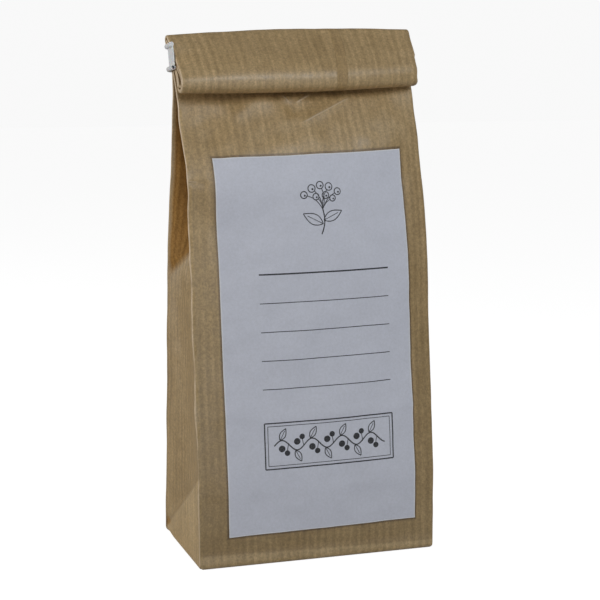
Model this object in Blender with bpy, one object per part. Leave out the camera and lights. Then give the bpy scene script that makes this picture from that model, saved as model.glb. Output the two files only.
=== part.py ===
"""A filled kraft paper bag with a block bottom and a rolled top, held shut by a two-wire clip.

Metres, +Z up. The origin is the middle of the flat bottom, the front faces -Y and the width runs along X.
Run it with: blender --background --python part.py
"""

import math
import random
from typing import NamedTuple

import bmesh
import bpy
from mathutils import Euler, Vector

MM = 0.001

# The bag: a flat width of 70 mm, a gusset of 41 mm, and about 149 mm tall with its top rolled down twice
BAG_WIDTH = 70 * MM
BAG_DEPTH = 41 * MM
WALL = 0.35 * MM
PLY_GAP = 0.2 * MM
FOLD = 2 * WALL + PLY_GAP
BOTTOM_THICKNESS = 1.2 * MM
FLAP_OVERLAP = 6 * MM
POCKET_RIM = 0.6 * MM
POCKET_DEPTH = 0.3 * MM

# Where the front and back edges of the bag run, as (height, Y)
FRONT_EDGE = (
    (0, -20.5), (20, -20.4), (35, -19.3), (50, -17.5), (65, -15.9), (85, -14.2), (96, -12.4),
    (106, -11.0), (116, -7.5), (124, -3.5), (132, -0.2), (137, 2.7),
)
BACK_EDGE = (
    (0, 20.5), (9, 19.9), (25, 18.2), (47, 16.2), (80, 13.9), (87, 12.8), (106, 8.9),
    (116, 6.7), (124, 5.2), (132, 4.3), (137, 4.7),
)
# How far the middle of each broad panel stands out of the line between its edges, as (height, bulge)
FRONT_BULGE = (
    (0, 0), (12, 0.8), (30, 2.2), (60, 3.8), (90, 4.8), (112, 5.4), (119, 5.0), (124, 3.8),
    (128, 2.0), (131.5, 0.4), (137, 0),
)
BACK_BULGE = (
    (0, 0), (12, 0.8), (30, 2.0), (60, 3.4), (90, 4.2), (110, 3.6), (122, 2.0), (131.5, 0.5), (137, 0),
)

PANEL_STEPS = 6
BODY_HEIGHTS = (
    0, 5, 10, 17, 25, 33, 42, 52, 62, 72, 80, 86, 92, 98, 104, 110, 115, 119.5, 124, 128, 131.5, 134.5,
)

# The side gussets: how far their middle is folded in, as (height, depth). They are a shallow dish where the
# contents press on them and a sharp V above, and the crease between the two climbs from back to front.
GUSSET_DEPTH = (
    (0, 2.6), (50, 3.0), (72, 3.6), (80, 4.8), (87, 9.5), (97, 14.0), (109, 17.4), (122, 19.2), (137, 19.6),
)
PLY_STEPS = 4
GUSSET_CREASE_HEIGHT = 80 * MM
GUSSET_CREASE_CLIMB = 10 * MM
GUSSET_CREASE_SOFTNESS = 6 * MM
BASE_CREASE_HEIGHT = 24 * MM
BASE_CREASE_FOOT = 1.5 * MM
BASE_CREASE_SOFTNESS = 8 * MM

# The roll: the flat strip's half thickness and the path that its middle follows, in Y and Z
STRIP_HALF = 2 * WALL + PLY_GAP + PLY_GAP / 2
STRIP_START = (3.7 * MM, 137 * MM)
STRIP_LEAN = math.radians(17)
LEAN_FROM = 124 * MM
ROLL_FROM = 128 * MM
ROLL_OVER = 8 * MM
RISE_LENGTH = 8.6 * MM
TOP_RADIUS = 1.35 * MM
TOP_TURN = math.radians(160)
FRONT_FOOT = (-5.5 * MM, 135.8 * MM)
FRONT_FOOT_LEAN = math.radians(15)
FRONT_PULL = 4.5 * MM
FOOT_RADIUS = 2.1 * MM
MOUTH = (2.4 * MM, 142.3 * MM)
MOUTH_LEAN = math.radians(30)
MOUTH_PULL = 3 * MM
ROLL_CENTRE = (0.5 * MM, 140 * MM)
ROLL_PUFF = (0.35, 0.13)
ROLL_TILT = 0.95 * MM
ROLL_TILT_FROM = 95 * MM
ROLL_TILT_OVER = 36 * MM
ROLL_SHIFT = 0.3 * MM
ROLL_NARROWING = 0.19
ROLL_HINGE = 2.5 * MM

# The shoulders: the right one stands back a little, the left one forward
TWIST = 1.8 * MM
TWIST_HEIGHT = 109 * MM
TWIST_REACH = 9 * MM

# The label
LABEL_WIDTH = 55.5 * MM
LABEL_HEIGHT = 106 * MM
LABEL_THICKNESS = 0.3 * MM
LABEL_GAP = 0.32 * MM
LABEL_FOOT = 9.2 * MM
LABEL_OFFSET = 1.3 * MM
LABEL_TURN = math.radians(0.74)

# The clip: a strip with a wire in each edge, its long left end bent forward round the end of the roll,
# its short right end turned in a little over the corner
CLIP_HEIGHT = 8.2 * MM
BEAD_RADIUS = 0.7 * MM
BEAD_SIDES = 12
WEB_SIDE = math.radians(-30)
BORE_RADIUS = 0.46 * MM
WIRE_RADIUS = 0.25 * MM
WIRE_RECESS = 1.5 * MM
CLIP_RISE = 4.3 * MM
CLIP_SLOPE = 0.4
CLIP_GAP = 0.6 * MM
CLIP_LEFT = -35.4 * MM
CLIP_BEND_RADIUS = 1.2 * MM
CLIP_LEFT_LEG = 5.4 * MM
CLIP_LENGTH_BEHIND = 68.4 * MM
CLIP_RIGHT_TURN = math.radians(35)
CLIP_RIGHT_LEG = 0.8 * MM

# The dried berries inside
FILL_HEIGHT = 90 * MM
FILL_DOME = 5 * MM
FILL_CLEARANCE = 0.5 * MM
FILL_REACH = 4 * MM
FILL_SIDES = 56
FILL_RINGS = 20
FILL_BUMP = 0.9 * MM
BERRY_RADIUS = 2.1 * MM
BERRY_PITCH = 5.2 * MM
BERRY_JITTER = 0.7 * MM
BERRY_SEED = 7

KRAFT = (0.50, 0.36, 0.215)
PAPER_WHITE = (0.80, 0.81, 0.84)
CLIP_WHITE = (0.82, 0.83, 0.82)
STEEL = (0.56, 0.57, 0.58)
BERRY_BLACK = (0.022, 0.012, 0.022)


def clear_scene():
    for obj in list(bpy.data.objects):
        bpy.data.objects.remove(obj)


def material(name, colour, roughness, metallic=0.0):
    made = bpy.data.materials.new(name)
    made.use_nodes = True
    shader = made.node_tree.nodes["Principled BSDF"]
    shader.inputs["Base Color"].default_value = (*colour, 1)
    shader.inputs["Roughness"].default_value = roughness
    shader.inputs["Metallic"].default_value = metallic
    return made


def smooth(t):
    t = min(1.0, max(0.0, t))
    return t * t * (3 - 2 * t)


def along(table, height):
    """The value of a (height, value) table in millimetres at this height, eased between its rows."""
    z = height / MM
    if z <= table[0][0]:
        return table[0][1] * MM
    for k in range(len(table) - 1):
        (z0, v0), (z1, v1) = table[k], table[k + 1]
        if z > z1:
            continue
        chord = (v1 - v0) / (z1 - z0)
        before = (v0 - table[k - 1][1]) / (z0 - table[k - 1][0]) if k else chord
        after = (table[k + 2][1] - v1) / (table[k + 2][0] - z1) if k + 2 < len(table) else chord
        m0, m1 = (before + chord) / 2, (after + chord) / 2
        t, span = (z - z0) / (z1 - z0), z1 - z0
        return MM * (
            (2 * t**3 - 3 * t**2 + 1) * v0 + (t**3 - 2 * t**2 + t) * span * m0
            + (-2 * t**3 + 3 * t**2) * v1 + (t**3 - t**2) * span * m1
        )
    return table[-1][1] * MM


def settle(point):
    """Leans the finished shape as it stands: the roll a little up on the right, the shoulders twisted."""
    side = point.x / (BAG_WIDTH / 2)
    lift = ROLL_TILT * side * smooth((point.z - ROLL_TILT_FROM) / ROLL_TILT_OVER)
    twist = TWIST * side * math.exp(-(((point.z - TWIST_HEIGHT) / TWIST_REACH) ** 2))
    return Vector((point.x, point.y + twist, point.z + lift))


# The bag's sections


class Station(NamedTuple):
    """One cross-section of the bag: where its middle is, how it leans, and how it is spread."""

    y: float
    z: float
    lean: float
    half: float
    front_bulge: float
    back_bulge: float
    height: float
    in_roll: float
    wound: float


def panel_y(x, half, bulge):
    """How far forward of the section's middle the broad panel lies at this x."""
    return half + bulge * (1 - (2 * x / BAG_WIDTH) ** 2)


def ply_point(t, from_front, half, height):
    """(inward, Y, slope) at share t of the way from a gusset ply's edge to the gusset's middle crease."""
    skewed = height - GUSSET_CREASE_CLIMB * (1 - from_front)
    sharp = smooth((skewed - GUSSET_CREASE_HEIGHT) / GUSSET_CREASE_SOFTNESS)
    foot = BASE_CREASE_HEIGHT * (1 - from_front) + BASE_CREASE_FOOT
    depth = along(GUSSET_DEPTH, skewed) * smooth((height - foot) / BASE_CREASE_SOFTNESS)
    chord = max(half - FOLD - PLY_GAP / 2, 0)
    dish, dish_rate = math.sin(math.pi / 2 * t), math.pi / 2 * math.cos(math.pi / 2 * t)
    inward = depth * (sharp * t + (1 - sharp) * dish)
    rate = depth * (sharp + (1 - sharp) * dish_rate)
    return inward, half - FOLD - chord * t, math.atan2(rate, chord)


def side_points(half, height, offset):
    """One side of a section from its front edge to its back edge, as (inward, Y), moved in by offset."""
    front, back = [], []
    for k in range(PLY_STEPS + 1):
        t = k / PLY_STEPS
        for side, points in ((-1, front), (1, back)):
            inward, y, slope = ply_point(t, 0.5 + side * (0.5 - t / 2), half, height)
            x = inward + offset * (1 if k in (0, PLY_STEPS) else math.cos(slope))
            points.append((x, side * (y + offset * math.sin(slope))))
    return front + back[::-1]


def section(station, offset):
    """The bag's outline at one station as (x, Y) round the section's middle, moved in by offset."""
    reach = BAG_WIDTH / 2
    across = [reach * (2 * k / PANEL_STEPS - 1) for k in range(PANEL_STEPS + 1)]
    inner = [min(max(x, -reach + offset), reach - offset) for x in across]
    front = [(x, offset - panel_y(x, station.half, station.front_bulge)) for x in inner]
    back = [(x, panel_y(x, station.half, station.back_bulge) - offset) for x in inner]
    side = side_points(station.half, station.height, offset)
    right = [(reach - x, y) for x, y in side]
    left = [(x - reach, y) for x, y in side]
    return front + right + back[::-1] + left[::-1]


def body_stations():
    """The sections up the standing part of the bag."""
    stations = []
    for z in (height * MM for height in BODY_HEIGHTS):
        front, back = along(FRONT_EDGE, z), along(BACK_EDGE, z)
        stations.append(Station(
            y=(front + back) / 2,
            z=z,
            lean=STRIP_LEAN * smooth((z - LEAN_FROM) / (STRIP_START[1] - LEAN_FROM)),
            half=(back - front) / 2,
            front_bulge=along(FRONT_BULGE, z),
            back_bulge=along(BACK_BULGE, z),
            height=z,
            in_roll=smooth((z - ROLL_FROM) / ROLL_OVER),
            wound=0.0,
        ))
    return stations


def bezier(start, start_lean, end, end_lean, pull, count):
    """(Y, Z, direction) along a smooth path, without its first point."""
    a, d = Vector(start), Vector(end)
    b = a + pull * Vector((math.cos(start_lean), math.sin(start_lean)))
    c = d - pull * Vector((math.cos(end_lean), math.sin(end_lean)))
    points = []
    for k in range(1, count + 1):
        t = k / count
        p = (1 - t) ** 3 * a + 3 * t * (1 - t) ** 2 * b + 3 * t * t * (1 - t) * c + t**3 * d
        v = 3 * (1 - t) ** 2 * (b - a) + 6 * t * (1 - t) * (c - b) + 3 * t * t * (d - c)
        points.append((p.x, p.y, math.atan2(v.y, v.x)))
    return points


def arc(centre, radius, start, turn, count):
    """(Y, Z, direction) along a turn to the left, without its first point."""
    points = []
    for k in range(1, count + 1):
        direction = start + turn * k / count
        y = centre[0] + radius * math.sin(direction)
        z = centre[1] - radius * math.cos(direction)
        points.append((y, z, direction))
    return points


def roll_path():
    """(Y, Z, direction) of the flat strip's middle: up the back, over, down the front, and up inside."""
    direction = math.pi / 2 - STRIP_LEAN
    start = Vector(STRIP_START)
    rise = Vector((math.cos(direction), math.sin(direction)))
    path = [(*(start + rise * RISE_LENGTH * k / 2), direction) for k in range(3)]
    top_centre = path[-1][0] - TOP_RADIUS * rise.y, path[-1][1] + TOP_RADIUS * rise.x
    path += arc(top_centre, TOP_RADIUS, direction, TOP_TURN, 6)
    down = 1.5 * math.pi - FRONT_FOOT_LEAN
    path += bezier(path[-1][:2], path[-1][2], FRONT_FOOT, down, FRONT_PULL, 4)
    foot_centre = (
        FRONT_FOOT[0] - FOOT_RADIUS * math.sin(down),
        FRONT_FOOT[1] + FOOT_RADIUS * math.cos(down),
    )
    path += arc(foot_centre, FOOT_RADIUS, down, math.pi, 6)
    path += bezier(path[-1][:2], down - math.pi, MOUTH, math.pi / 2 - MOUTH_LEAN, MOUTH_PULL, 3)
    return path


def roll_stations():
    """The sections of the flat strip, from the start of the roll to the mouth inside it."""
    stations, turned, last = [], 0.0, math.pi / 2 - STRIP_LEAN
    for y, z, direction in roll_path():
        turned += (direction - last + math.pi) % (2 * math.pi) - math.pi
        last = direction
        lean = math.pi / 2 - direction
        wound = smooth(turned / math.pi)
        stations.append(Station(y, z, lean, STRIP_HALF, 0.0, 0.0, STRIP_START[1], 1.0, wound))
    return stations


def puffed(x, y, z, share=1.0):
    """A point of the roll's path, swelled away from the roll's middle where the roll is fullest."""
    puff = share * max(0.0, 1 - (2 * x / BAG_WIDTH) ** 2)
    return y + ROLL_PUFF[0] * puff * (y - ROLL_CENTRE[0]), z + ROLL_PUFF[1] * puff * (z - ROLL_CENTRE[1])


def placed(station, offset):
    """The points of one station's outline in the bag's frame."""
    points = []
    for x, across in section(station, offset):
        y, z = puffed(x, station.y, station.z, station.in_roll)
        y += station.wound * ROLL_NARROWING * 2 * x / BAG_WIDTH * (ROLL_HINGE - station.y)
        x += station.wound * ROLL_SHIFT
        y += across * math.cos(station.lean)
        z -= across * math.sin(station.lean)
        points.append(settle(Vector((x, y, z))))
    return points


def add_ring(mesh, points):
    return [mesh.verts.new(p) for p in points]


def join_rings(mesh, lower, upper):
    count = len(lower)
    for k in range(count):
        mesh.faces.new([lower[k], lower[(k + 1) % count], upper[(k + 1) % count], upper[k]])


def bottom_flaps(mesh, ring):
    """The folded flaps of the block bottom: two broad ones over a recessed triangle at each end."""
    steps = PANEL_STEPS + 1
    sides = 2 * (PLY_STEPS + 1)
    front = ring[:steps]
    right = ring[steps : steps + sides]
    back = ring[steps + sides : 2 * steps + sides]
    left = ring[2 * steps + sides :]
    point_x = BAG_WIDTH / 2 - BAG_DEPTH / 2
    apex_right, apex_left = (mesh.verts.new((x, 0, 0)) for x in (point_x, -point_x))
    lap_right, lap_left = (mesh.verts.new((x, FLAP_OVERLAP, 0)) for x in (point_x, -point_x))
    mesh.faces.new((front + [apex_right, lap_right, lap_left, apex_left])[::-1])
    mesh.faces.new((back + [apex_left, lap_left, lap_right, apex_right])[::-1])
    pockets = [
        mesh.faces.new(([front[-1]] + right + [back[0], apex_right])[::-1]),
        mesh.faces.new(([back[-1]] + left + [front[0], apex_left])[::-1]),
    ]
    bmesh.ops.inset_individual(mesh, faces=pockets, thickness=POCKET_RIM, depth=-POCKET_DEPTH)


def finish_mesh(name, mesh, made_of, smooth_angle=math.radians(35)):
    bmesh.ops.recalc_face_normals(mesh, faces=mesh.faces)
    data = bpy.data.meshes.new(name)
    mesh.to_mesh(data)
    mesh.free()
    data.shade_smooth()
    data.set_sharp_from_angle(angle=smooth_angle)
    obj = bpy.data.objects.new(name, data)
    bpy.context.scene.collection.objects.link(obj)
    data.materials.append(made_of)
    return obj


def paper_bag(made_of):
    """One folded sheet: outside and inside surfaces that meet at the mouth, in the heart of the roll."""
    mesh = bmesh.new()
    stations = body_stations() + roll_stations()
    outer = [add_ring(mesh, placed(station, 0.0)) for station in stations]
    inner = [add_ring(mesh, placed(station, WALL)) for station in stations]
    bottom_flaps(mesh, outer[0])
    for rings in (outer, inner):
        for lower, upper in zip(rings, rings[1:]):
            join_rings(mesh, lower, upper)
    join_rings(mesh, outer[-1], inner[-1])
    for vert in inner[0]:
        vert.co.z = BOTTOM_THICKNESS
    mesh.faces.new(inner[0])
    bmesh.ops.remove_doubles(mesh, verts=mesh.verts, dist=1e-7)
    return finish_mesh("paper_bag", mesh, made_of)


# The label


def front_point(x, z, out):
    """A point of the front panel, moved out of it by out."""
    front, back = along(FRONT_EDGE, z), along(BACK_EDGE, z)
    middle, half = (front + back) / 2, (back - front) / 2
    return settle(Vector((x, middle - panel_y(x, half, along(FRONT_BULGE, z)) - out, z)))


def panel_heights(step=0.5 * MM, top=120 * MM):
    """(distance up the front panel, height) pairs, which turn a length on the paper into a height."""
    pairs, length, last = [(0.0, 0.0)], 0.0, along(FRONT_EDGE, 0)
    for k in range(1, int(top / step) + 1):
        here = along(FRONT_EDGE, k * step)
        length += math.hypot(step, here - last)
        pairs.append((length, k * step))
        last = here
    return pairs


def height_at(pairs, length):
    for (s0, z0), (s1, z1) in zip(pairs, pairs[1:]):
        if length <= s1:
            return z0 + (z1 - z0) * (length - s0) / (s1 - s0)
    return pairs[-1][1]


def sheet_rim(sheet):
    """The border points of a grid of rows, once round."""
    bottom, top = sheet[0][:-1], sheet[-1][:0:-1]
    right = [row[-1] for row in sheet[:-1]]
    left = [row[0] for row in sheet[:0:-1]]
    return bottom + right + top + left


def label(made_of, columns=8, rows=16):
    mesh = bmesh.new()
    pairs = panel_heights()
    sheets = []
    for out in (LABEL_GAP, LABEL_GAP + LABEL_THICKNESS):
        sheet = []
        for j in range(rows + 1):
            row = []
            for i in range(columns + 1):
                u = LABEL_WIDTH * (i / columns - 0.5)
                v = LABEL_HEIGHT * j / rows
                x = LABEL_OFFSET + u * math.cos(LABEL_TURN) - v * math.sin(LABEL_TURN)
                s = LABEL_FOOT + v * math.cos(LABEL_TURN) + u * math.sin(LABEL_TURN)
                row.append(mesh.verts.new(front_point(x, height_at(pairs, s), out)))
            sheet.append(row)
        sheets.append(sheet)
    for sheet in sheets:
        for lower, upper in zip(sheet, sheet[1:]):
            for i in range(columns):
                mesh.faces.new([lower[i], lower[i + 1], upper[i + 1], upper[i]])
    join_rings(mesh, *[sheet_rim(sheet) for sheet in sheets])
    return finish_mesh("label", mesh, made_of)


# The clip


def clip_path(inset=0.0):
    """(x, distance behind the roll's middle line, direction) along the clip, from left to right."""
    back = STRIP_HALF + CLIP_GAP
    x, behind, turn = CLIP_LEFT, back - CLIP_BEND_RADIUS - CLIP_LEFT_LEG + inset, math.pi / 2
    path = [(x, behind, turn)]
    moves = (
        (CLIP_LEFT_LEG - inset, 0.0, 2),
        (0.0, -math.pi / 2, 5),
        (CLIP_LENGTH_BEHIND, 0.0, 8),
        (0.0, -CLIP_RIGHT_TURN, 4),
        (CLIP_RIGHT_LEG, 0.0, 1),
    )
    for length, bend, count in moves:
        step = length / count if length else abs(bend) / count * CLIP_BEND_RADIUS
        for _ in range(count):
            turn += bend / count / 2
            x += step * math.cos(turn)
            behind += step * math.sin(turn)
            turn += bend / count / 2
            path.append((x, behind, turn))
    return path


def clip_point(x, behind, up):
    """A point near the strip behind the roll, from x, the distance behind its middle, and the way up it."""
    lean = STRIP_LEAN
    y0 = STRIP_START[0] + math.sin(lean) * (CLIP_RISE + up)
    z0 = STRIP_START[1] + math.cos(lean) * (CLIP_RISE + up)
    y, z = puffed(x, y0, z0)
    y += behind * math.cos(lean)
    z -= CLIP_SLOPE * behind * math.sin(lean)
    return settle(Vector((x, y, z)))


def swept(x, behind, direction, out, up):
    """A point of the clip's section: out along the section's outward side, up along the strip."""
    return clip_point(x - out * math.sin(direction), behind + out * math.cos(direction), up)


def bead_points(sign, radius):
    """A circle of a bead's section as (out, up) points, from beside the web's back to beside its front."""
    centre_up = CLIP_HEIGHT / 2 - BEAD_RADIUS
    turns = [WEB_SIDE - math.pi / 2 + 2 * math.pi * (k + 0.5) / BEAD_SIDES for k in range(BEAD_SIDES)]
    return [(BEAD_RADIUS + radius * math.cos(t), sign * (centre_up + radius * math.sin(t))) for t in turns]


def clip_strip(made_of):
    """Sweeps the clip's section, two hollow beads with a web between them, round the back of the roll."""
    mesh = bmesh.new()
    upper, lower = bead_points(1, BEAD_RADIUS), bead_points(-1, BEAD_RADIUS)
    loops = [upper + lower[::-1], bead_points(1, BORE_RADIUS), bead_points(-1, BORE_RADIUS)]
    path = clip_path()
    swept_loops = []
    for loop in loops:
        rings = [add_ring(mesh, [swept(*station, out, up) for out, up in loop]) for station in path]
        for before, after in zip(rings, rings[1:]):
            join_rings(mesh, before, after)
        swept_loops.append(rings)
    outside, upper_bore, lower_bore = swept_loops
    for end in (0, -1):
        upper_rim, lower_rim = outside[end][:BEAD_SIDES], outside[end][BEAD_SIDES:][::-1]
        join_rings(mesh, upper_rim, upper_bore[end])
        join_rings(mesh, lower_rim, lower_bore[end])
        mesh.faces.new([upper_rim[0], upper_rim[-1], lower_rim[-1], lower_rim[0]])
    return finish_mesh("clip_strip", mesh, made_of)


def clip_wire(name, sign, made_of, sides=8):
    mesh = bmesh.new()
    centre_up = sign * (CLIP_HEIGHT / 2 - BEAD_RADIUS)
    rings = []
    for station in clip_path(WIRE_RECESS):
        points = []
        for k in range(sides):
            angle = 2 * math.pi * k / sides
            out = BEAD_RADIUS + WIRE_RADIUS * math.cos(angle)
            points.append(swept(*station, out, centre_up + WIRE_RADIUS * math.sin(angle)))
        rings.append(add_ring(mesh, points))
    for lower, upper in zip(rings, rings[1:]):
        join_rings(mesh, lower, upper)
    mesh.faces.new(rings[0])
    mesh.faces.new(rings[-1])
    return finish_mesh(name, mesh, made_of)


# The contents


def fill_section(z):
    """The outline of the berries at one height, clear of the panels and the gussets, as (x, Y) points."""
    front, back = along(FRONT_EDGE, z), along(BACK_EDGE, z)
    middle, half = (front + back) / 2, (back - front) / 2
    offset = WALL + FILL_CLEARANCE
    bulges = along(FRONT_BULGE, z), along(BACK_BULGE, z)
    near = [z + side * FILL_REACH for side in (-1, 0, 1)]
    inward = max(x for height in near for x, _ in side_points(half, height, 0.0))
    reach = BAG_WIDTH / 2 - inward - offset
    steps = [reach * (2 * k / PANEL_STEPS - 1) for k in range(PANEL_STEPS + 1)]
    front_line = [(x, middle + offset - panel_y(x, half, bulges[0])) for x in steps]
    back_line = [(x, middle + panel_y(x, half, bulges[1]) - offset) for x in steps]
    return front_line + back_line[::-1]


def resampled(outline, count):
    """The closed outline as count evenly spaced points, starting at its first."""
    closed = outline + outline[:1]
    steps = [math.dist(a, b) for a, b in zip(closed, closed[1:])]
    total = sum(steps)
    points, travelled, k = [], 0.0, 0
    for n in range(count):
        target = total * n / count
        while travelled + steps[k] < target:
            travelled += steps[k]
            k += 1
        t = (target - travelled) / steps[k]
        a, b = closed[k], closed[k + 1]
        points.append((a[0] + (b[0] - a[0]) * t, a[1] + (b[1] - a[1]) * t))
    return points


def edge_distance(point, outline):
    """How far a point inside the outline is from its nearest side."""
    nearest = math.inf
    for a, b in zip(outline, outline[1:] + outline[:1]):
        run = (b[0] - a[0], b[1] - a[1])
        reach = (point[0] - a[0], point[1] - a[1])
        share = (run[0] * reach[0] + run[1] * reach[1]) / max(run[0] ** 2 + run[1] ** 2, 1e-12)
        share = min(1.0, max(0.0, share))
        nearest = min(nearest, math.hypot(reach[0] - share * run[0], reach[1] - share * run[1]))
    return nearest


def is_inside(point, outline):
    inside = False
    for a, b in zip(outline, outline[1:] + outline[:1]):
        if (a[1] > point[1]) != (b[1] > point[1]):
            crossing = a[0] + (point[1] - a[1]) * (b[0] - a[0]) / (b[1] - a[1])
            inside = inside != (point[0] < crossing)
    return inside


def dome(x, y):
    """The height of the heap's top over its rim."""
    across = 1 - (2 * x / BAG_WIDTH) ** 2
    deep = 1 - (2.6 * y / BAG_DEPTH) ** 2
    return FILL_DOME * max(0.0, across) * max(0.0, deep)


def fill_core(made_of):
    """The heap of berries below its top layer, its sides pressed into rows of low bumps by the paper."""
    mesh = bmesh.new()
    rings = []
    low = BOTTOM_THICKNESS + 2 * PLY_GAP
    for j in range(FILL_RINGS + 1):
        z = low + (FILL_HEIGHT - low) * j / FILL_RINGS
        points = []
        for k, (x, y) in enumerate(resampled(fill_section(z), FILL_SIDES)):
            pressed = FILL_BUMP * ((j + k) % 2) / max(math.hypot(x, y), MM)
            points.append(settle(Vector((x * (1 - pressed), y * (1 - pressed), z))))
        rings.append(add_ring(mesh, points))
    for share in (0.75, 0.5, 0.25):
        points = [(v.co.x * share, v.co.y * share) for v in rings[FILL_RINGS]]
        rings.append(add_ring(mesh, [(x, y, FILL_HEIGHT + dome(x, y)) for x, y in points]))
    for lower, upper in zip(rings, rings[1:]):
        join_rings(mesh, lower, upper)
    mesh.faces.new(rings[0])
    mesh.faces.new(rings[-1])
    return finish_mesh("dried_berries", mesh, made_of)


def berry_places():
    """Where the top layer's berries lie: a jittered triangular grid, clear of the paper all round."""
    outline = fill_section(FILL_HEIGHT + FILL_DOME + BERRY_RADIUS)
    drawn = random.Random(BERRY_SEED)
    row_pitch = BERRY_PITCH * math.sqrt(3) / 2
    columns, rows = int(BAG_WIDTH / BERRY_PITCH), int(BAG_DEPTH / row_pitch)
    places = []
    for j in range(-rows // 2, rows // 2 + 1):
        for i in range(-columns // 2, columns // 2 + 1):
            x = (i + 0.5 * (j % 2)) * BERRY_PITCH + drawn.uniform(-1, 1) * BERRY_JITTER
            y = j * row_pitch + drawn.uniform(-1, 1) * BERRY_JITTER
            radius = BERRY_RADIUS * drawn.uniform(0.88, 1.08)
            lift = drawn.uniform(0.1, 0.5) * radius
            if is_inside((x, y), outline) and edge_distance((x, y), outline) > radius + PLY_GAP:
                places.append((x, y, FILL_HEIGHT + dome(x, y) + lift, radius))
    return places


def dried_berries(made_of):
    core = fill_core(made_of)
    layer = bpy.data.collections.new("berry_layer")
    bpy.context.scene.collection.children.link(layer)
    for x, y, z, radius in berry_places():
        mesh = bmesh.new()
        bmesh.ops.create_icosphere(mesh, subdivisions=1, radius=radius)
        bmesh.ops.rotate(mesh, verts=mesh.verts, matrix=Euler((7 * x / MM, 11 * y / MM, 0)).to_matrix())
        bmesh.ops.translate(mesh, verts=mesh.verts, vec=(x, y, z))
        data = bpy.data.meshes.new("berry")
        mesh.to_mesh(data)
        mesh.free()
        layer.objects.link(bpy.data.objects.new("berry", data))
    union = core.modifiers.new("berries", "BOOLEAN")
    union.operation = "UNION"
    union.operand_type = "COLLECTION"
    union.collection = layer
    depsgraph = bpy.context.evaluated_depsgraph_get()
    core.data = bpy.data.meshes.new_from_object(core.evaluated_get(depsgraph))
    core.modifiers.clear()
    for berry in list(layer.objects):
        bpy.data.objects.remove(berry)
    bpy.data.collections.remove(layer)
    core.data.materials.clear()
    core.data.materials.append(made_of)
    core.data.shade_smooth()
    core.data.set_sharp_from_angle(angle=math.radians(50))


def main():
    clear_scene()
    kraft = material("kraft_paper", KRAFT, 0.62)
    white_paper = material("label_paper", PAPER_WHITE, 0.55)
    clip_white = material("clip_white", CLIP_WHITE, 0.4)
    steel = material("clip_wire", STEEL, 0.35, 1.0)
    paper_bag(kraft)
    label(white_paper)
    clip_strip(clip_white)
    clip_wire("clip_wire_upper", 1, steel)
    clip_wire("clip_wire_lower", -1, steel)
    dried_berries(material("dried_berries", BERRY_BLACK, 0.55))


main()
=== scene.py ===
"""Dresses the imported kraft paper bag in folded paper, a printed label and a wired clip, in a plain studio.

It is laid out as an add-on and runs as a script. Lengths in the tables and the shape functions are
millimetres; MM turns them into metres where a mesh is made.
"""

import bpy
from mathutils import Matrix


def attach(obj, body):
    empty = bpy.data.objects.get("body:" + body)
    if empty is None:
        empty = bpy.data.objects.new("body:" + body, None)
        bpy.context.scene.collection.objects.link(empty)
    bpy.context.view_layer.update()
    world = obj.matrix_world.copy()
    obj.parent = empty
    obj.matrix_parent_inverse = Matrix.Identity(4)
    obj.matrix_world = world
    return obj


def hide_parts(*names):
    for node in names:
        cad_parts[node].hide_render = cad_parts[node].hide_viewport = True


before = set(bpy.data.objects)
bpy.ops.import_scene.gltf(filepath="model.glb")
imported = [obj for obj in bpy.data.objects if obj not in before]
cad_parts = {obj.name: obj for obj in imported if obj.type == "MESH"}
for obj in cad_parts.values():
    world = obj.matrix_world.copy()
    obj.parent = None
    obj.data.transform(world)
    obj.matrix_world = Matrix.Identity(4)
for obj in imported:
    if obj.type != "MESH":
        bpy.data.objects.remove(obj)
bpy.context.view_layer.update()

import math
from typing import NamedTuple

import bmesh
import bpy
import numpy as np
from mathutils import Matrix, Vector

bl_info = {
    "name": "Kraft Paper Bag",
    "version": (1, 0, 0),
    "blender": (4, 5, 0),
    "location": "View3D > Sidebar > Paper Bag",
    "description": "Folds a filled kraft paper bag with a rolled top, a label and a wired clip",
    "category": "Object",
}

MM = 0.001

# The bag's size, and where its front and back edges run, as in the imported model
BAG_WIDTH = 70.0
BAG_DEPTH = 41.0
REACH = BAG_WIDTH / 2
FOLD_RADIUS = 0.4
FOLD_LENGTH = FOLD_RADIUS * math.pi / 2
SHEET_ROUND = 2 * (BAG_WIDTH + BAG_DEPTH) + 4 * FOLD_LENGTH
PLY_SPACING = 0.1
FRONT_EDGE = (
    (0, -20.5), (20, -20.4), (35, -19.3), (50, -17.5), (65, -15.9), (85, -14.2), (96, -12.4),
    (106, -11.0), (116, -7.5), (124, -3.5), (132, -0.2), (137, 2.7),
)
BACK_EDGE = (
    (0, 20.5), (9, 19.9), (25, 18.2), (47, 16.2), (80, 13.9), (87, 13.0), (96, 11.6), (106, 10.1),
    (116, 7.8), (124, 5.6), (132, 4.3), (137, 4.7),
)
FRONT_BULGE = (
    (0, 0), (12, 0.8), (30, 2.2), (60, 3.8), (90, 4.8), (112, 5.4), (119, 5.0), (124, 3.8),
    (128, 2.0), (131.5, 0.4), (137, 0),
)
BACK_BULGE = (
    (0, 0), (12, 0.8), (30, 2.0), (60, 3.4), (90, 4.2), (110, 3.6), (122, 2.0), (131.5, 0.5), (137, 0),
)

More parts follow.
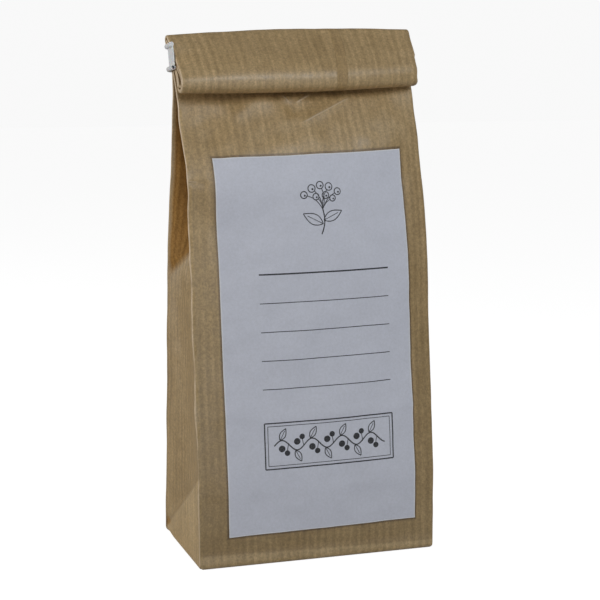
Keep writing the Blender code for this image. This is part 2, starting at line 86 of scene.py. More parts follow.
# The gussets
GUSSET_DEPTH = (
    (0, 2.6), (50, 3.0), (72, 3.6), (80, 4.8), (87, 9.5), (97, 14.0), (109, 17.4), (122, 19.2), (137, 19.6),
)
GUSSET_CREASE_HEIGHT = 80.0
GUSSET_CREASE_CLIMB = 10.0
GUSSET_CREASE_SOFTNESS = 3.0
BASE_CREASE_HEIGHT = 24.0
BASE_CREASE_FOOT = 1.5
BASE_CREASE_SOFTNESS = 4.0
SHADE_HEIGHT = 77.5
SHADE_CLIMB = 21.5
SHADE_TOP = (137.0, 133.0)
TUCK_DEPTH = 0.7
TUCK_HEIGHT = 3.0
TUCK_FROM_FRONT = 0.94
TUCK_SIZE = (1.9, 0.1)

# The roll
STRIP_HALF = 1.0
STRIP_START = (3.7, 137.0)
STRIP_LEAN = math.radians(17)
LEAN_FROM = 124.0
ROLL_FROM = 128.0
ROLL_OVER = 8.0
RISE_LENGTH = 8.6
RISE_STEPS = 12
TOP_RADIUS = 1.35
TOP_TURN = math.radians(160)
FRONT_FOOT = (-5.5, 135.8)
FRONT_FOOT_LEAN = math.radians(15)
FRONT_PULL = 4.5
FOOT_RADIUS = 2.1
MOUTH = (2.4, 142.3)
MOUTH_LEAN = math.radians(30)
MOUTH_PULL = 3.0
ROLL_CENTRE = (0.5, 140.0)
ROLL_PUFF = (0.35, 0.13)
ROLL_TILT = 0.95
ROLL_TILT_FROM = 95.0
ROLL_TILT_OVER = 36.0
ROLL_NARROWING = 0.19
ROLL_HINGE = 2.5
TWIST = 1.8
TWIST_HEIGHT = 109.0
TWIST_REACH = 9.0

# The block bottom
FOOT_ROUNDING = 1.2
FOOT_FLARE = 0.8
FOOT_FLARE_HEIGHT = 4.2
FLAP_OVERLAP = 6.0
POCKET_DEPTH = 0.5
BACK_FLAP_RISE = 0.3
FOOT_STEP = 0.3

# The label
LABEL_WIDTH = 55.5
LABEL_HEIGHT = 106.0
LABEL_FOOT = 9.2
LABEL_OFFSET = 1.3
LABEL_TURN = math.radians(0.74)
LABEL_GAP = 0.07
LABEL_CORNER_LIFT = 0.12
LABEL_EDGE_ROW = 0.12
PRINT_GAP = 0.03

# The label's print, from the middle of its foot: rules as (height, width), and the bordered field as (left,
# right, low, high); then the sprig's berries as (x, y, radius) from the sprig's middle
LABEL_RULES = ((73.0, 0.42), (65.0, 0.22), (57.0, 0.22), (49.0, 0.22), (41.0, 0.22))
LABEL_FIELD = (-17.0, 21.0, 18.5, 31.5)
SPRIG_BERRIES = (
    (-5.4, 3.6, 0.95), (-3.1, 5.3, 1.05), (-0.6, 6.1, 1.0), (2.0, 5.6, 1.05), (4.6, 4.2, 0.95),
    (-1.9, 3.0, 0.9), (0.9, 3.3, 0.95), (3.0, 2.4, 0.85),
)

# The clip
CLIP_HEIGHT = 8.0
BEAD_RADIUS = 0.7
BEAD_WALL = 0.22
WIRE_RADIUS = 0.25
WIRE_RECESS = 1.5
WEB_THICKNESS = 0.34
WEB_OUT = 0.35
WEB_FLARE = 0.12
WEB_INSET = 0.5
CLIP_RISE = 4.95
CLIP_SLOPE = 0.4
CLIP_GAP = 0.6
CLIP_LEFT = -35.1
CLIP_BEND_RADIUS = 1.2
CLIP_LEFT_LEG = 5.4
CLIP_LENGTH_BEHIND = 68.4
CLIP_RIGHT_TURN = math.radians(35)
CLIP_RIGHT_LEG = 0.8

# Creases pressed or raised in the front panel: (x, height) to (x, height), how far out, how wide
FRONT_CREASES = (
    ((-8.5, 131.0), (-21.0, 124.4), 0.6, 2.4),
    ((14.2, 129.0), (-1.4, 122.6), 0.4, 1.1),
    ((3.6, 130.6), (-1.6, 128.2), 0.3, 0.9),
    ((-5.2, 130.6), (-2.6, 128.0), 0.3, 0.9),
    ((-3.4, 128.6), (-2.2, 124.6), -0.65, 1.6),
    ((-35.2, 107.5), (-29.5, 106.8), -0.32, 0.8),
    ((-35.2, 109.6), (-31.0, 109.2), -0.14, 0.8),
    ((-35.0, 42.0), (35.0, 42.5), 0.24, 0.9),
    ((-35.0, 21.0), (35.0, 21.3), 0.16, 1.0),
    ((24.0, 126.0), (33.0, 118.0), 0.3, 2.5),
    ((-30.0, 124.0), (-24.0, 112.0), -0.25, 3.0),
)

# Sharp lines along those creases, scuffed pale and painted pale as highlights: (x, height) to (x, height),
# half their width
SCUFFED_AND_LIT_LINES = (
    ((15.4, 129.8), (-1.6, 122.6), 0.42),
    ((3.4, 130.6), (-1.4, 128.3), 0.38),
    ((-5.0, 130.5), (-2.8, 128.2), 0.36),
    ((-34.8, 107.4), (-32.4, 107.1), 0.3),
)

# The glued seam of the back panel, which the roll turns to the front: across the sheet, and its slant there
SEAM = 134.5
SEAM_HALF_WIDTH = 1.6
SEAM_SLANT = 0.14
SEAM_SLANT_FROM = 158.0

# The roll's front: its slope across the bag, the ridge along it, its lower corner and its flat right half,
# each as (how far out or in, how broad)
ROLL_SLOPE = 0.027
ROLL_RIDGE_HEIGHT = 136.6
ROLL_RIDGE = (0.12, 1.4)
ROLL_CORNER_HEIGHT = 132.8
ROLL_CORNER = (0.6, 1.2)
ROLL_FLAT_HEIGHT = 139.5
ROLL_FLATTENING = (0.25, 3.0)

# The roll's ends: its left end pinched towards the back, and its layers shifted out at the left and at the
# right as (share of the reach, from what height, over how much height)
ROLL_PINCH = 0.46
PINCH_HEIGHT = 141.0
PINCH_REACH = 3.5
ROLL_SPREAD = ((0.04, 142.0, 5.0), (0.018, 134.0, 13.0))

# The paper's ribs, its worn folds with their painted highlights, how high the scuffed and painted-lit crease
# lines reach, the painted light along the hem and the painted shadow round the label
RIB_SPACING = 2.22
WEAR_AND_HIGHLIGHT_HALF_WIDTH = 0.3
LINES_TOP = (134.0, 132.0)
PAINTED_HEM_BAND = (4.1, 3.5)
PAINTED_HEM_SLOPE = 0.02
LABEL_SHADOW_LINE = (0.75, 0.3)


# Shape functions


def eased(t):
    t = np.clip(t, 0.0, 1.0)
    return t * t * (3 - 2 * t)


def hump(away, width):
    """One in the middle of a smooth hump, and next to nothing at twice its width."""
    return np.exp(-((away / width) ** 2))


def travelled(points):
    """The distance along a line of points to each of them."""
    return np.concatenate(([0.0], np.cumsum(np.linalg.norm(np.diff(points, axis=0), axis=1))))


def along(table, height):
    """The value of a (height, value) table at this height or heights, eased between its rows."""
    heights, values = np.array(table, float).T
    chord = np.diff(values) / np.diff(heights)
    slope = np.concatenate((chord[:1], (chord[1:] + chord[:-1]) / 2, chord[-1:]))
    z = np.clip(height, heights[0], heights[-1])
    k = np.clip(np.searchsorted(heights, z, side="right") - 1, 0, len(chord) - 1)
    span = heights[k + 1] - heights[k]
    t = (z - heights[k]) / span
    return (
        (2 * t**3 - 3 * t**2 + 1) * values[k] + (t**3 - 2 * t**2 + t) * span * slope[k]
        + (-2 * t**3 + 3 * t**2) * values[k + 1] + (t**3 - t**2) * span * slope[k + 1]
    )


def settled(points):
    """Leans finished points as the bag stands: the roll a little up on the right, the shoulders twisted."""
    x, y, z = np.moveaxis(points, -1, 0)
    side = x / REACH
    lift = ROLL_TILT * side * eased((z - ROLL_TILT_FROM) / ROLL_TILT_OVER)
    return np.stack((x, y + TWIST * side * hump(z - TWIST_HEIGHT, TWIST_REACH), z + lift), axis=-1)


def puffed(x, y, z, share=1.0):
    """Points of the roll's path, swelled away from the roll's middle where the roll is fullest."""
    puff = share * np.maximum(0.0, 1 - (x / REACH) ** 2)
    return y + ROLL_PUFF[0] * puff * (y - ROLL_CENTRE[0]), z + ROLL_PUFF[1] * puff * (z - ROLL_CENTRE[1])


class Station(NamedTuple):
    """One cross-section of the sheet: where its middle is, how it leans, and how it is spread."""

    y: float
    z: float
    lean: float
    half: float
    front_bulge: float
    back_bulge: float
    height: float
    in_roll: float
    wound: float


def body_stations(heights):
    stations = []
    for z in heights.tolist():
        front, back, front_bulge, back_bulge = (
            float(along(table, z)) for table in (FRONT_EDGE, BACK_EDGE, FRONT_BULGE, BACK_BULGE)
        )
        lean = STRIP_LEAN * float(eased((z - LEAN_FROM) / (STRIP_START[1] - LEAN_FROM)))
        in_roll = float(eased((z - ROLL_FROM) / ROLL_OVER))
        stations.append(Station(
            (front + back) / 2, z, lean, (back - front) / 2, front_bulge, back_bulge, z, in_roll, 0.0,
        ))
    return stations


def bezier(start, start_lean, end, end_lean, pull, count):
    """(Y, Z, direction) along a smooth path, without its first point."""
    a, d = np.array(start), np.array(end)
    b = a + pull * np.array((math.cos(start_lean), math.sin(start_lean)))
    c = d - pull * np.array((math.cos(end_lean), math.sin(end_lean)))
    points = []
    for k in range(1, count + 1):
        t = k / count
        p = (1 - t) ** 3 * a + 3 * t * (1 - t) ** 2 * b + 3 * t * t * (1 - t) * c + t**3 * d
        v = 3 * (1 - t) ** 2 * (b - a) + 6 * t * (1 - t) * (c - b) + 3 * t * t * (d - c)
        points.append((p[0], p[1], math.atan2(v[1], v[0])))
    return points


def arc(centre, radius, start, turn, count):
    """(Y, Z, direction) along a turn to the left, without its first point."""
    directions = [start + turn * k / count for k in range(1, count + 1)]
    return [(centre[0] + radius * math.sin(d), centre[1] - radius * math.cos(d), d) for d in directions]


def roll_path():
    """(Y, Z, direction) of the flat strip's middle: up the back, over, down the front, and up inside."""
    direction = math.pi / 2 - STRIP_LEAN
    rise = np.array((math.cos(direction), math.sin(direction)))
    path = [
        (*(np.array(STRIP_START) + rise * RISE_LENGTH * k / RISE_STEPS), direction)
        for k in range(1, RISE_STEPS + 1)
    ]
    top_centre = path[-1][0] - TOP_RADIUS * rise[1], path[-1][1] + TOP_RADIUS * rise[0]
    path += arc(top_centre, TOP_RADIUS, direction, TOP_TURN, 14)
    down = 1.5 * math.pi - FRONT_FOOT_LEAN
    path += bezier(path[-1][:2], path[-1][2], FRONT_FOOT, down, FRONT_PULL, 16)
    foot_centre = FRONT_FOOT[0] - FOOT_RADIUS * math.sin(down), FRONT_FOOT[1] + FOOT_RADIUS * math.cos(down)
    path += arc(foot_centre, FOOT_RADIUS, down, math.pi, 16)
    path += bezier(path[-1][:2], down - math.pi, MOUTH, math.pi / 2 - MOUTH_LEAN, MOUTH_PULL, 8)
    return path


def roll_stations():
    """The sections of the flat strip, from just past the start of the roll to the mouth inside it."""
    stations, turned, last = [], 0.0, math.pi / 2 - STRIP_LEAN
    for y, z, direction in roll_path():
        turned += (direction - last + math.pi) % (2 * math.pi) - math.pi
        last = direction
        lean, wound = math.pi / 2 - direction, float(eased(turned / math.pi))
        stations.append(Station(y, z, lean, STRIP_HALF, 0.0, 0.0, STRIP_START[1], 1.0, wound))
    return stations


# The sheet's columns, once round the bag


class Columns(NamedTuple):
    """The sheet's columns: the part of the outline, the share of the way across it, the distance round."""

    part: np.ndarray
    share: np.ndarray
    round_sheet: np.ndarray


FRONT, CORNER, SIDE, BACK = 0, 1, 2, 3
FRONT_COUNT = 89
BACK_COUNT = 45
SIDE_COUNT = 12
CORNER_COUNT = 4

# The columns along which the sheet's and the foot's lengths are measured
SHEET_LINE = 10
FOOT_LINE = 30


def sheet_columns():
    """Front panel, right gusset, back panel, left gusset, with the folds between them."""
    runs, s = [], 0.0
    fold = np.arange(1, CORNER_COUNT + 1) / (CORNER_COUNT + 1)
    side = np.linspace(0, 1, 2 * SIDE_COUNT + 1)
    for panel, count in ((FRONT, FRONT_COUNT), (BACK, BACK_COUNT)):
        for part, length, share in (
            (panel, BAG_WIDTH, np.linspace(0, 1, count)), (CORNER, FOLD_LENGTH, fold),
            (SIDE, BAG_DEPTH, side), (CORNER, FOLD_LENGTH, fold),
        ):
            runs.append((np.full(len(share), part), share, s + length * share))
            s += length
    return Columns(*map(np.concatenate, zip(*runs)))


def side_fold(height, from_front):
    """The gusset's depth, and how sharp its V is, where a column stands at this share from the front."""
    skewed = height - GUSSET_CREASE_CLIMB * (1 - from_front)
    sharp = eased((skewed - GUSSET_CREASE_HEIGHT) / GUSSET_CREASE_SOFTNESS)
    foot = BASE_CREASE_HEIGHT * (1 - from_front) + BASE_CREASE_FOOT
    return along(GUSSET_DEPTH, skewed) * eased((height - foot) / BASE_CREASE_SOFTNESS), sharp


def base_tuck(height, from_front):
    """The small hollow where the gusset dives behind the bottom flap at the back corner."""
    return hump(height - TUCK_HEIGHT, TUCK_SIZE[0]) * hump(from_front - TUCK_FROM_FRONT, TUCK_SIZE[1])


def fold_slope(half, height, from_front):
    """How far a gusset's ply turns inward where it leaves the fold at one edge."""
    depth, sharp = side_fold(height, from_front)
    chord = max(half - 2 * FOLD_RADIUS - PLY_SPACING, 0.05)
    return math.atan2(float(depth * (sharp + (1 - sharp) * math.pi / 2)), chord)


def ply_points(t, from_front, half, height, slope):
    """(inward, distance from the panel) of gusset points at shares t of the way to the middle crease."""
    depth, sharp = side_fold(height, from_front)
    start_in = FOLD_RADIUS * (1 - math.cos(slope))
    start_across = FOLD_RADIUS * (1 + math.sin(slope))
    rear = eased((from_front - 0.5) / 0.1)
    folded = (1 - rear) * t + rear * (0.35 * t + 0.65 * eased((t - 0.1) / 0.8))
    bow = sharp * folded + (1 - sharp) * np.sin(math.pi / 2 * t)
    inward = start_in * (1 - t) + depth * bow + TUCK_DEPTH * base_tuck(height, from_front)
    return inward, start_across + (half - PLY_SPACING - start_across) * t


def bend_points(share, slope):
    """(inward, distance from the panel) of points round the fold at a panel's edge."""
    angle = (math.pi / 2 + slope) * share
    return FOLD_RADIUS * (1 - np.sin(angle)), FOLD_RADIUS * (1 - np.cos(angle))


def outline(station, columns):
    """The sheet's outline at one station as x and Y round the section's middle."""
    x, y = np.zeros(len(columns.part)), np.zeros(len(columns.part))
    half, height = station.half, station.height
    slopes = [fold_slope(half, height, edge) for edge in (0, 1)]
    seen = 0
    for side, count, bulge in ((1, FRONT_COUNT, station.front_bulge), (-1, BACK_COUNT, station.back_bulge)):
        run = slice(seen, seen + count)
        across = (REACH - FOLD_RADIUS) * (2 * columns.share[run] - 1)
        x[run], y[run] = side * across, -side * (half + bulge * (1 - (across / REACH) ** 2))
        seen += count
        near = int(side < 0)
        for edge, sign, parts in (
            (near, -side, ((CORNER, CORNER_COUNT), (SIDE, SIDE_COUNT + 1))),
            (1 - near, side, ((SIDE, SIDE_COUNT), (CORNER, CORNER_COUNT))),
        ):
            for part, steps in parts:
                run = slice(seen, seen + steps)
                way = columns.share[run] if edge == near else 1 - columns.share[run]
                if part == CORNER:
                    inward, away = bend_points(way, slopes[edge])
                else:
                    from_front = edge + (1 - 2 * edge) * way
                    inward, away = ply_points(2 * way, from_front, half, height, slopes[edge])
                x[run], y[run] = side * (REACH - inward), sign * (half - away)
                seen += steps
    return x, y


def placed(station, columns):
    """One row of the sheet in the bag's frame."""
    x, across = outline(station, columns)
    y, z = puffed(x, station.y, station.z, station.in_roll)
    y = y + station.wound * ROLL_NARROWING * x / REACH * (ROLL_HINGE - station.y)
    back = STRIP_START[0] + math.tan(STRIP_LEAN) * (station.z - STRIP_START[1])
    pinch = ROLL_PINCH * station.in_roll * hump(station.z - PINCH_HEIGHT, PINCH_REACH)
    y = y + pinch * np.clip(-x / REACH, 0, 1) ** 4 * (back - y)
    (left, left_from, left_over), (right, right_from, right_over) = ROLL_SPREAD
    left *= float(eased((station.z - left_from) / left_over))
    right *= max(0.0, (station.z - right_from) / right_over)
    x = x * (1 + station.in_roll * np.interp(x, (-REACH, 0, REACH), (left, 0, right)))
    y, z = y + across * math.cos(station.lean), z - across * math.sin(station.lean)
    return settled(np.stack((x, y, z), axis=-1))


# Wrinkles


def ripple(a, b, shortest, longest, seed, count=40):
    """Smooth unevenness of about unit height over two lengths, with wavelengths between the two given."""
    drawn = np.random.default_rng(seed)
    total = np.zeros(np.broadcast(a, b).shape)
    for _ in range(count):
        wave = math.exp(drawn.uniform(math.log(shortest), math.log(longest)))
        turn, phase = drawn.uniform(0, math.pi), drawn.uniform(0, 2 * math.pi)
        total += np.cos(2 * math.pi * (a * math.cos(turn) + b * math.sin(turn)) / wave + phase)
    return total / math.sqrt(count / 2)


def crease(x, z, start, end, height, width):
    """A ridge or a dent along a line, which fades out at both ends."""
    (x0, z0), (x1, z1) = start, end
    run = np.array((x1 - x0, z1 - z0))
    share = ((x - x0) * run[0] + (z - z0) * run[1]) / run.dot(run)
    away = np.hypot(x - x0 - run[0] * share, z - z0 - run[1] * share)
    fade = eased(share / 0.2 + 0.5) * eased((1 - share) / 0.35 + 0.3)
    return height * fade * np.exp(-((away / width) ** 1.6))


def wrinkles(columns, stations, cockle, positions):
    """How far out of its smooth shape each point of the sheet lies."""
    heights, rolled, wound = (
        np.array([getattr(station, key) for station in stations])[:, None]
        for key in ("height", "in_roll", "wound")
    )
    s, v = np.meshgrid(columns.round_sheet, travelled(positions[:, SHEET_LINE]))
    x, y, z = np.moveaxis(positions, -1, 0)
    corners = (0.0, BAG_WIDTH, BAG_WIDTH + BAG_DEPTH, 2 * BAG_WIDTH + BAG_DEPTH)
    edge = np.minimum.reduce([np.abs(s - corner) for corner in corners])
    loose = (1 - 0.75 * rolled) * eased(heights / 14) * (0.25 + 0.75 * eased(edge / 9))
    out = cockle * loose * (0.75 * ripple(s, v, 16, 42, 3) + 0.3 * ripple(s, v, 6, 14, 11))
    front, back = columns.part == FRONT, columns.part == BACK
    for start, end, height, width in FRONT_CREASES:
        out += np.where(front & (rolled < 0.5), crease(x, heights, start, end, height, width), 0.0)
    outer = back & (wound > 0.5)
    corner = (np.roll(back, CORNER_COUNT) | np.roll(back, -CORNER_COUNT)) & (columns.part == CORNER)
    outer |= corner & outer.any(axis=1, keepdims=True)
    level = z - ROLL_SLOPE * x
    to_right = eased((x + REACH) / (2 * REACH))
    ridge = ROLL_RIDGE[0] * hump(level - ROLL_RIDGE_HEIGHT, ROLL_RIDGE[1])
    low = ROLL_CORNER[0] * (0.35 + 0.65 * to_right) * hump(level - ROLL_CORNER_HEIGHT, ROLL_CORNER[1])
    flat = ROLL_FLATTENING[0] * to_right**2 * hump(level - ROLL_FLAT_HEIGHT, ROLL_FLATTENING[1])
    out += np.where(outer & (y < ROLL_CENTRE[0] - 3), ridge + low - flat, 0.0)
    return out + np.where(front | back, FOOT_FLARE * np.clip(1 - heights / FOOT_FLARE_HEIGHT, 0, 1), 0.0)


def outward(points):
    """The outward direction at each point of the closed rows of the sheet."""
    along_row = np.roll(points, -1, axis=1) - np.roll(points, 1, axis=1)
    up = np.gradient(points, axis=0)
    normal = np.cross(along_row, up)
    return normal / np.maximum(np.linalg.norm(normal, axis=-1, keepdims=True), 1e-9)


# The folded sheet


class Sheet(NamedTuple):
    """The shaped paper: its columns, its rows' heights, its points and its worn folds, where highlights are
    painted too.
    """

    columns: Columns
    heights: np.ndarray
    lengths: np.ndarray
    points: np.ndarray
    wear: np.ndarray


def shaped_sheet(cockle):
    columns = sheet_columns()
    heights = np.concatenate((
        np.arange(FOOT_ROUNDING, 6, 0.8), np.linspace(6, 98, 74), np.linspace(98.6, STRIP_START[1], 64),
    ))
    stations = body_stations(heights) + roll_stations()
    points = np.array([placed(station, columns) for station in stations])
    points = points + outward(points) * wrinkles(columns, stations, cockle, points)[..., None]
    lengths = travelled(points[:, SHEET_LINE]) + heights[0]
    # Worn folds, which the material also lightens as painted highlights
    folds = np.cumsum((BAG_WIDTH, FOLD_LENGTH + BAG_DEPTH, FOLD_LENGTH + BAG_WIDTH, FOLD_LENGTH + BAG_DEPTH))
    away = np.abs(columns.round_sheet - (folds + FOLD_LENGTH / 2)[:, None])
    wear = hump(np.minimum(away, SHEET_ROUND - away).min(axis=0), WEAR_AND_HIGHLIGHT_HALF_WIDTH) + 0 * lengths[:, None]
    return Sheet(columns, heights, lengths, points, wear)


def foot_rows(first, part):
    """The rows of the rounded bottom edge and of the folded flaps under the bag, from the middle outwards."""
    reach = np.array((REACH, BAG_DEPTH / 2))
    rows = []
    for angle in np.linspace(0, math.pi / 2, 6)[:-1]:
        inset, z = FOOT_ROUNDING * (1 - math.sin(angle)), FOOT_ROUNDING * (1 - math.cos(angle))
        rows.append(np.column_stack((first[:, :2] / reach * (reach - inset), np.full(len(first), z))))
    half_x, half_y = reach - FOOT_ROUNDING
    known = np.flatnonzero(part != CORNER)
    rises = {FRONT: 0.0, SIDE: POCKET_DEPTH, BACK: BACK_FLAP_RISE}
    rise = np.interp(np.arange(len(part)), known, [rises[own] for own in part[known]], period=len(part))
    broad = (part == FRONT) | (part == BACK)
    flaps = []
    for t in (0.03, 0.07, 0.12, 0.2, 0.3, 0.42, 0.55, 0.68, 0.8, 0.9, 0.97, 1.0):
        x, y = rows[0][:, 0], rows[0][:, 1] * (1 - t)
        x = np.where(broad, x * (half_x - half_y * t) / half_x, x - np.copysign(half_y * t, x))
        flaps.append(np.column_stack((x, y, rise * eased(t / 0.12))))
    for t in (0.33, 0.66, 1.0):
        row = flaps[-1].copy()
        row[part == FRONT, 1] = FLAP_OVERLAP * t
        flaps.append(row)
    return flaps[::-1] + rows


def grid_mesh(name, points, uv, attributes, closed):
    """A mesh of a grid of points with a UV map in metres and named values, closed round its rows if asked."""
    rows, columns = points.shape[:2]
    j, k = np.meshgrid(np.arange(rows - 1), np.arange(columns if closed else columns - 1), indexing="ij")
    low, high, after = j * columns, (j + 1) * columns, (k + 1) % columns
    faces = np.stack((low + k, low + after, high + after, high + k), axis=-1).reshape(-1, 4)
    mesh = bpy.data.meshes.new(name)
    mesh.from_pydata((points.reshape(-1, 3) * MM).tolist(), [], faces.tolist())
    around, up = uv
    values = [np.stack((around[k + dk], up[j + dj]), -1) for dk, dj in ((0, 0), (1, 0), (1, 1), (0, 1))]
    values = np.stack(values, axis=2) * MM
    mesh.uv_layers.new(name="paper").data.foreach_set("uv", values.astype(np.float32).ravel())
    for key, field in attributes.items():
        made = mesh.attributes.new(key, "FLOAT", "POINT")
        made.data.foreach_set("value", field.astype(np.float32).ravel())
    return mesh


def add_object(name, mesh, made_of):
    obj = bpy.data.objects.new(name, mesh)
    bpy.context.scene.collection.objects.link(obj)
    mesh.materials.clear()
    mesh.materials.append(made_of)
    return obj


def add_paper(name, mesh, made_of, thickness):
    """Adds a sheet of paper whose thickness lies behind its face."""
    obj = add_object(name, mesh, made_of)
    wall = obj.modifiers.new("paper", "SOLIDIFY")
    wall.thickness = thickness
    wall.offset = -1
    return obj


def merged(mesh, distance=1e-7):
    """The mesh with coinciding points made one and faces of no size taken out."""
    edit = bmesh.new()
    edit.from_mesh(mesh)
    bmesh.ops.remove_doubles(edit, verts=edit.verts, dist=distance)
    bmesh.ops.dissolve_degenerate(edit, edges=edit.edges, dist=distance)
    edit.to_mesh(mesh)
    edit.free()
    return mesh


# Materials


class Nodes:
    """Adds and links the nodes of one material."""

    def __init__(self, name):
        self.material = bpy.data.materials.new(name)
        self.material.use_nodes = True
        self.tree = self.material.node_tree
        self.shader = self.tree.nodes["Principled BSDF"]
        self.place = self.add("ShaderNodeTexCoord").outputs["Object"]

    def give(self, socket, value):
        if isinstance(value, bpy.types.NodeSocket):
            self.tree.links.new(value, socket)
        else:
            socket.default_value = value

    def add(self, kind, inputs=None, **settings):
        node = self.tree.nodes.new(kind)
        for key, value in settings.items():
            setattr(node, key, value)
        for key, value in (inputs or {}).items():
            self.give(node.inputs[key], value)
        return node

    def math(self, operation, a, b=0.0):
        return self.add("ShaderNodeMath", {0: a, 1: b}, operation=operation).outputs[0]

    def plus(self, a, b):
        return self.math("ADD", a, b)

    def minus(self, a, b):
        return self.math("SUBTRACT", a, b)

    def times(self, a, b):
        return self.math("MULTIPLY", a, b)

    def vector(self, operation, inputs):
        node = self.add("ShaderNodeVectorMath", inputs, operation=operation)
        return node.outputs["Value" if operation in ("DOT_PRODUCT", "DISTANCE", "LENGTH") else "Vector"]

    def split(self, vector):
        return self.add("ShaderNodeSeparateXYZ", {0: vector}).outputs

    def noise(self, vector, scale, detail=2.0, roughness=0.5):
        if isinstance(scale, tuple):
            vector, scale = self.add("ShaderNodeMapping", {"Vector": vector, "Scale": scale}).outputs[0], 1.0
        inputs = {"Vector": vector, "Scale": scale, "Detail": detail, "Roughness": roughness}
        return self.add("ShaderNodeTexNoise", inputs).outputs["Fac"]

    def band(self, value, low, high):
        """The share of the way that a value has gone from low to high."""
        inputs = {"Value": value, "From Min": low, "From Max": high, "To Min": 0.0, "To Max": 1.0}
        return self.add("ShaderNodeMapRange", inputs).outputs[0]

    def band_mm(self, value, low, high):
        return self.band(value, low * MM, high * MM)

    def mix(self, share, a, b, blend_type="MIX"):
        node = self.add("ShaderNodeMix", data_type="RGBA", blend_type=blend_type)
        for key, value in ((0, share), (6, a), (7, b)):
            plain = isinstance(value, (float, bpy.types.NodeSocket))
            self.give(node.inputs[key], value if plain else (*value, 1.0))
        return node.outputs[2]

    def toned(self, base, value, low, high, dark, light):
        """The base colour times dark to light, as the value goes from low to high."""
        return self.mix(1.0, base, self.mix(self.band(value, low, high), dark, light), "MULTIPLY")

    def clouded(self, colour, darker, scale, detail=3.0, roughness=0.6):
        """The colour, down to darker times itself in soft clouds."""
        clouds = self.noise(self.place, scale, detail, roughness)
        return self.mix(self.band(clouds, 0.3, 0.7), [darker * channel for channel in colour], colour)

    def label_edge_shadow(self, on_sheet):
        """One in a thin line just outside the label's edge, where a shadow is painted on the paper."""
        middle = (
            REACH + LABEL_OFFSET - LABEL_HEIGHT / 2 * math.sin(LABEL_TURN), LABEL_FOOT + LABEL_HEIGHT / 2,
        )
        turned = self.add("ShaderNodeVectorRotate", {
            "Vector": on_sheet, "Center": (middle[0] * MM, middle[1] * MM, 0.0), "Angle": -LABEL_TURN,
        }, rotation_type="Z_AXIS").outputs[0]
        outside = []
        for place, centre, size in zip(
            self.split(turned), middle, (LABEL_WIDTH * REACH / (REACH - FOLD_RADIUS), LABEL_HEIGHT),
        ):
            outside.append(self.minus(self.math("ABSOLUTE", self.minus(place, centre * MM)), size / 2 * MM))
        return self.band_mm(self.math("MAXIMUM", *outside), *LABEL_SHADOW_LINE)

    def share_from_front(self, round_sheet):
        """The share of the way across a gusset, from the front edge, and one where a gusset is."""
        half = SHEET_ROUND / 2 * MM
        away = self.math("ABSOLUTE", self.minus(round_sheet, REACH * MM))
        away = self.minus(half, self.math("ABSOLUTE", self.minus(away, half)))
        near, far = REACH + FOLD_LENGTH, REACH + FOLD_LENGTH + BAG_DEPTH
        inside = self.times(
            self.band_mm(away, near - 0.1, near + 0.1), self.band_mm(away, far + 0.1, far - 0.1),
        )
        return self.band_mm(away, near, far), inside

    def sharp_line(self, start, end, half_width):
        """One along the middle of a thin line on the front, from start to end as (x, height)."""
        run = ((end[0] - start[0]) * MM, 0.0, (end[1] - start[1]) * MM)
        flat = self.vector("MULTIPLY", {0: self.place, 1: (1.0, 0.0, 1.0)})
        flat = self.vector("SUBTRACT", {0: flat, 1: (start[0] * MM, 0.0, start[1] * MM)})
        share = self.band(self.vector("DOT_PRODUCT", {0: flat, 1: run}), 0.0, run[0] ** 2 + run[2] ** 2)
        away = self.vector("DISTANCE", {0: flat, 1: self.vector("SCALE", {0: run, "Scale": share})})
        fade = self.times(self.band(share, 0.0, 0.2), self.band(share, 1.0, 0.6))
        return self.times(self.band_mm(away, half_width, 0.0), fade)

    def bump(self, height, distance, strength=1.0, normal=None):
        inputs = {"Height": height, "Distance": distance, "Strength": strength}
        if normal is not None:
            inputs["Normal"] = normal
        return self.add("ShaderNodeBump", inputs).outputs[0]

    def finish(self, **sockets):
        for key, value in sockets.items():
            self.give(self.shader.inputs[key.replace("_", " ")], value)
        return self.material


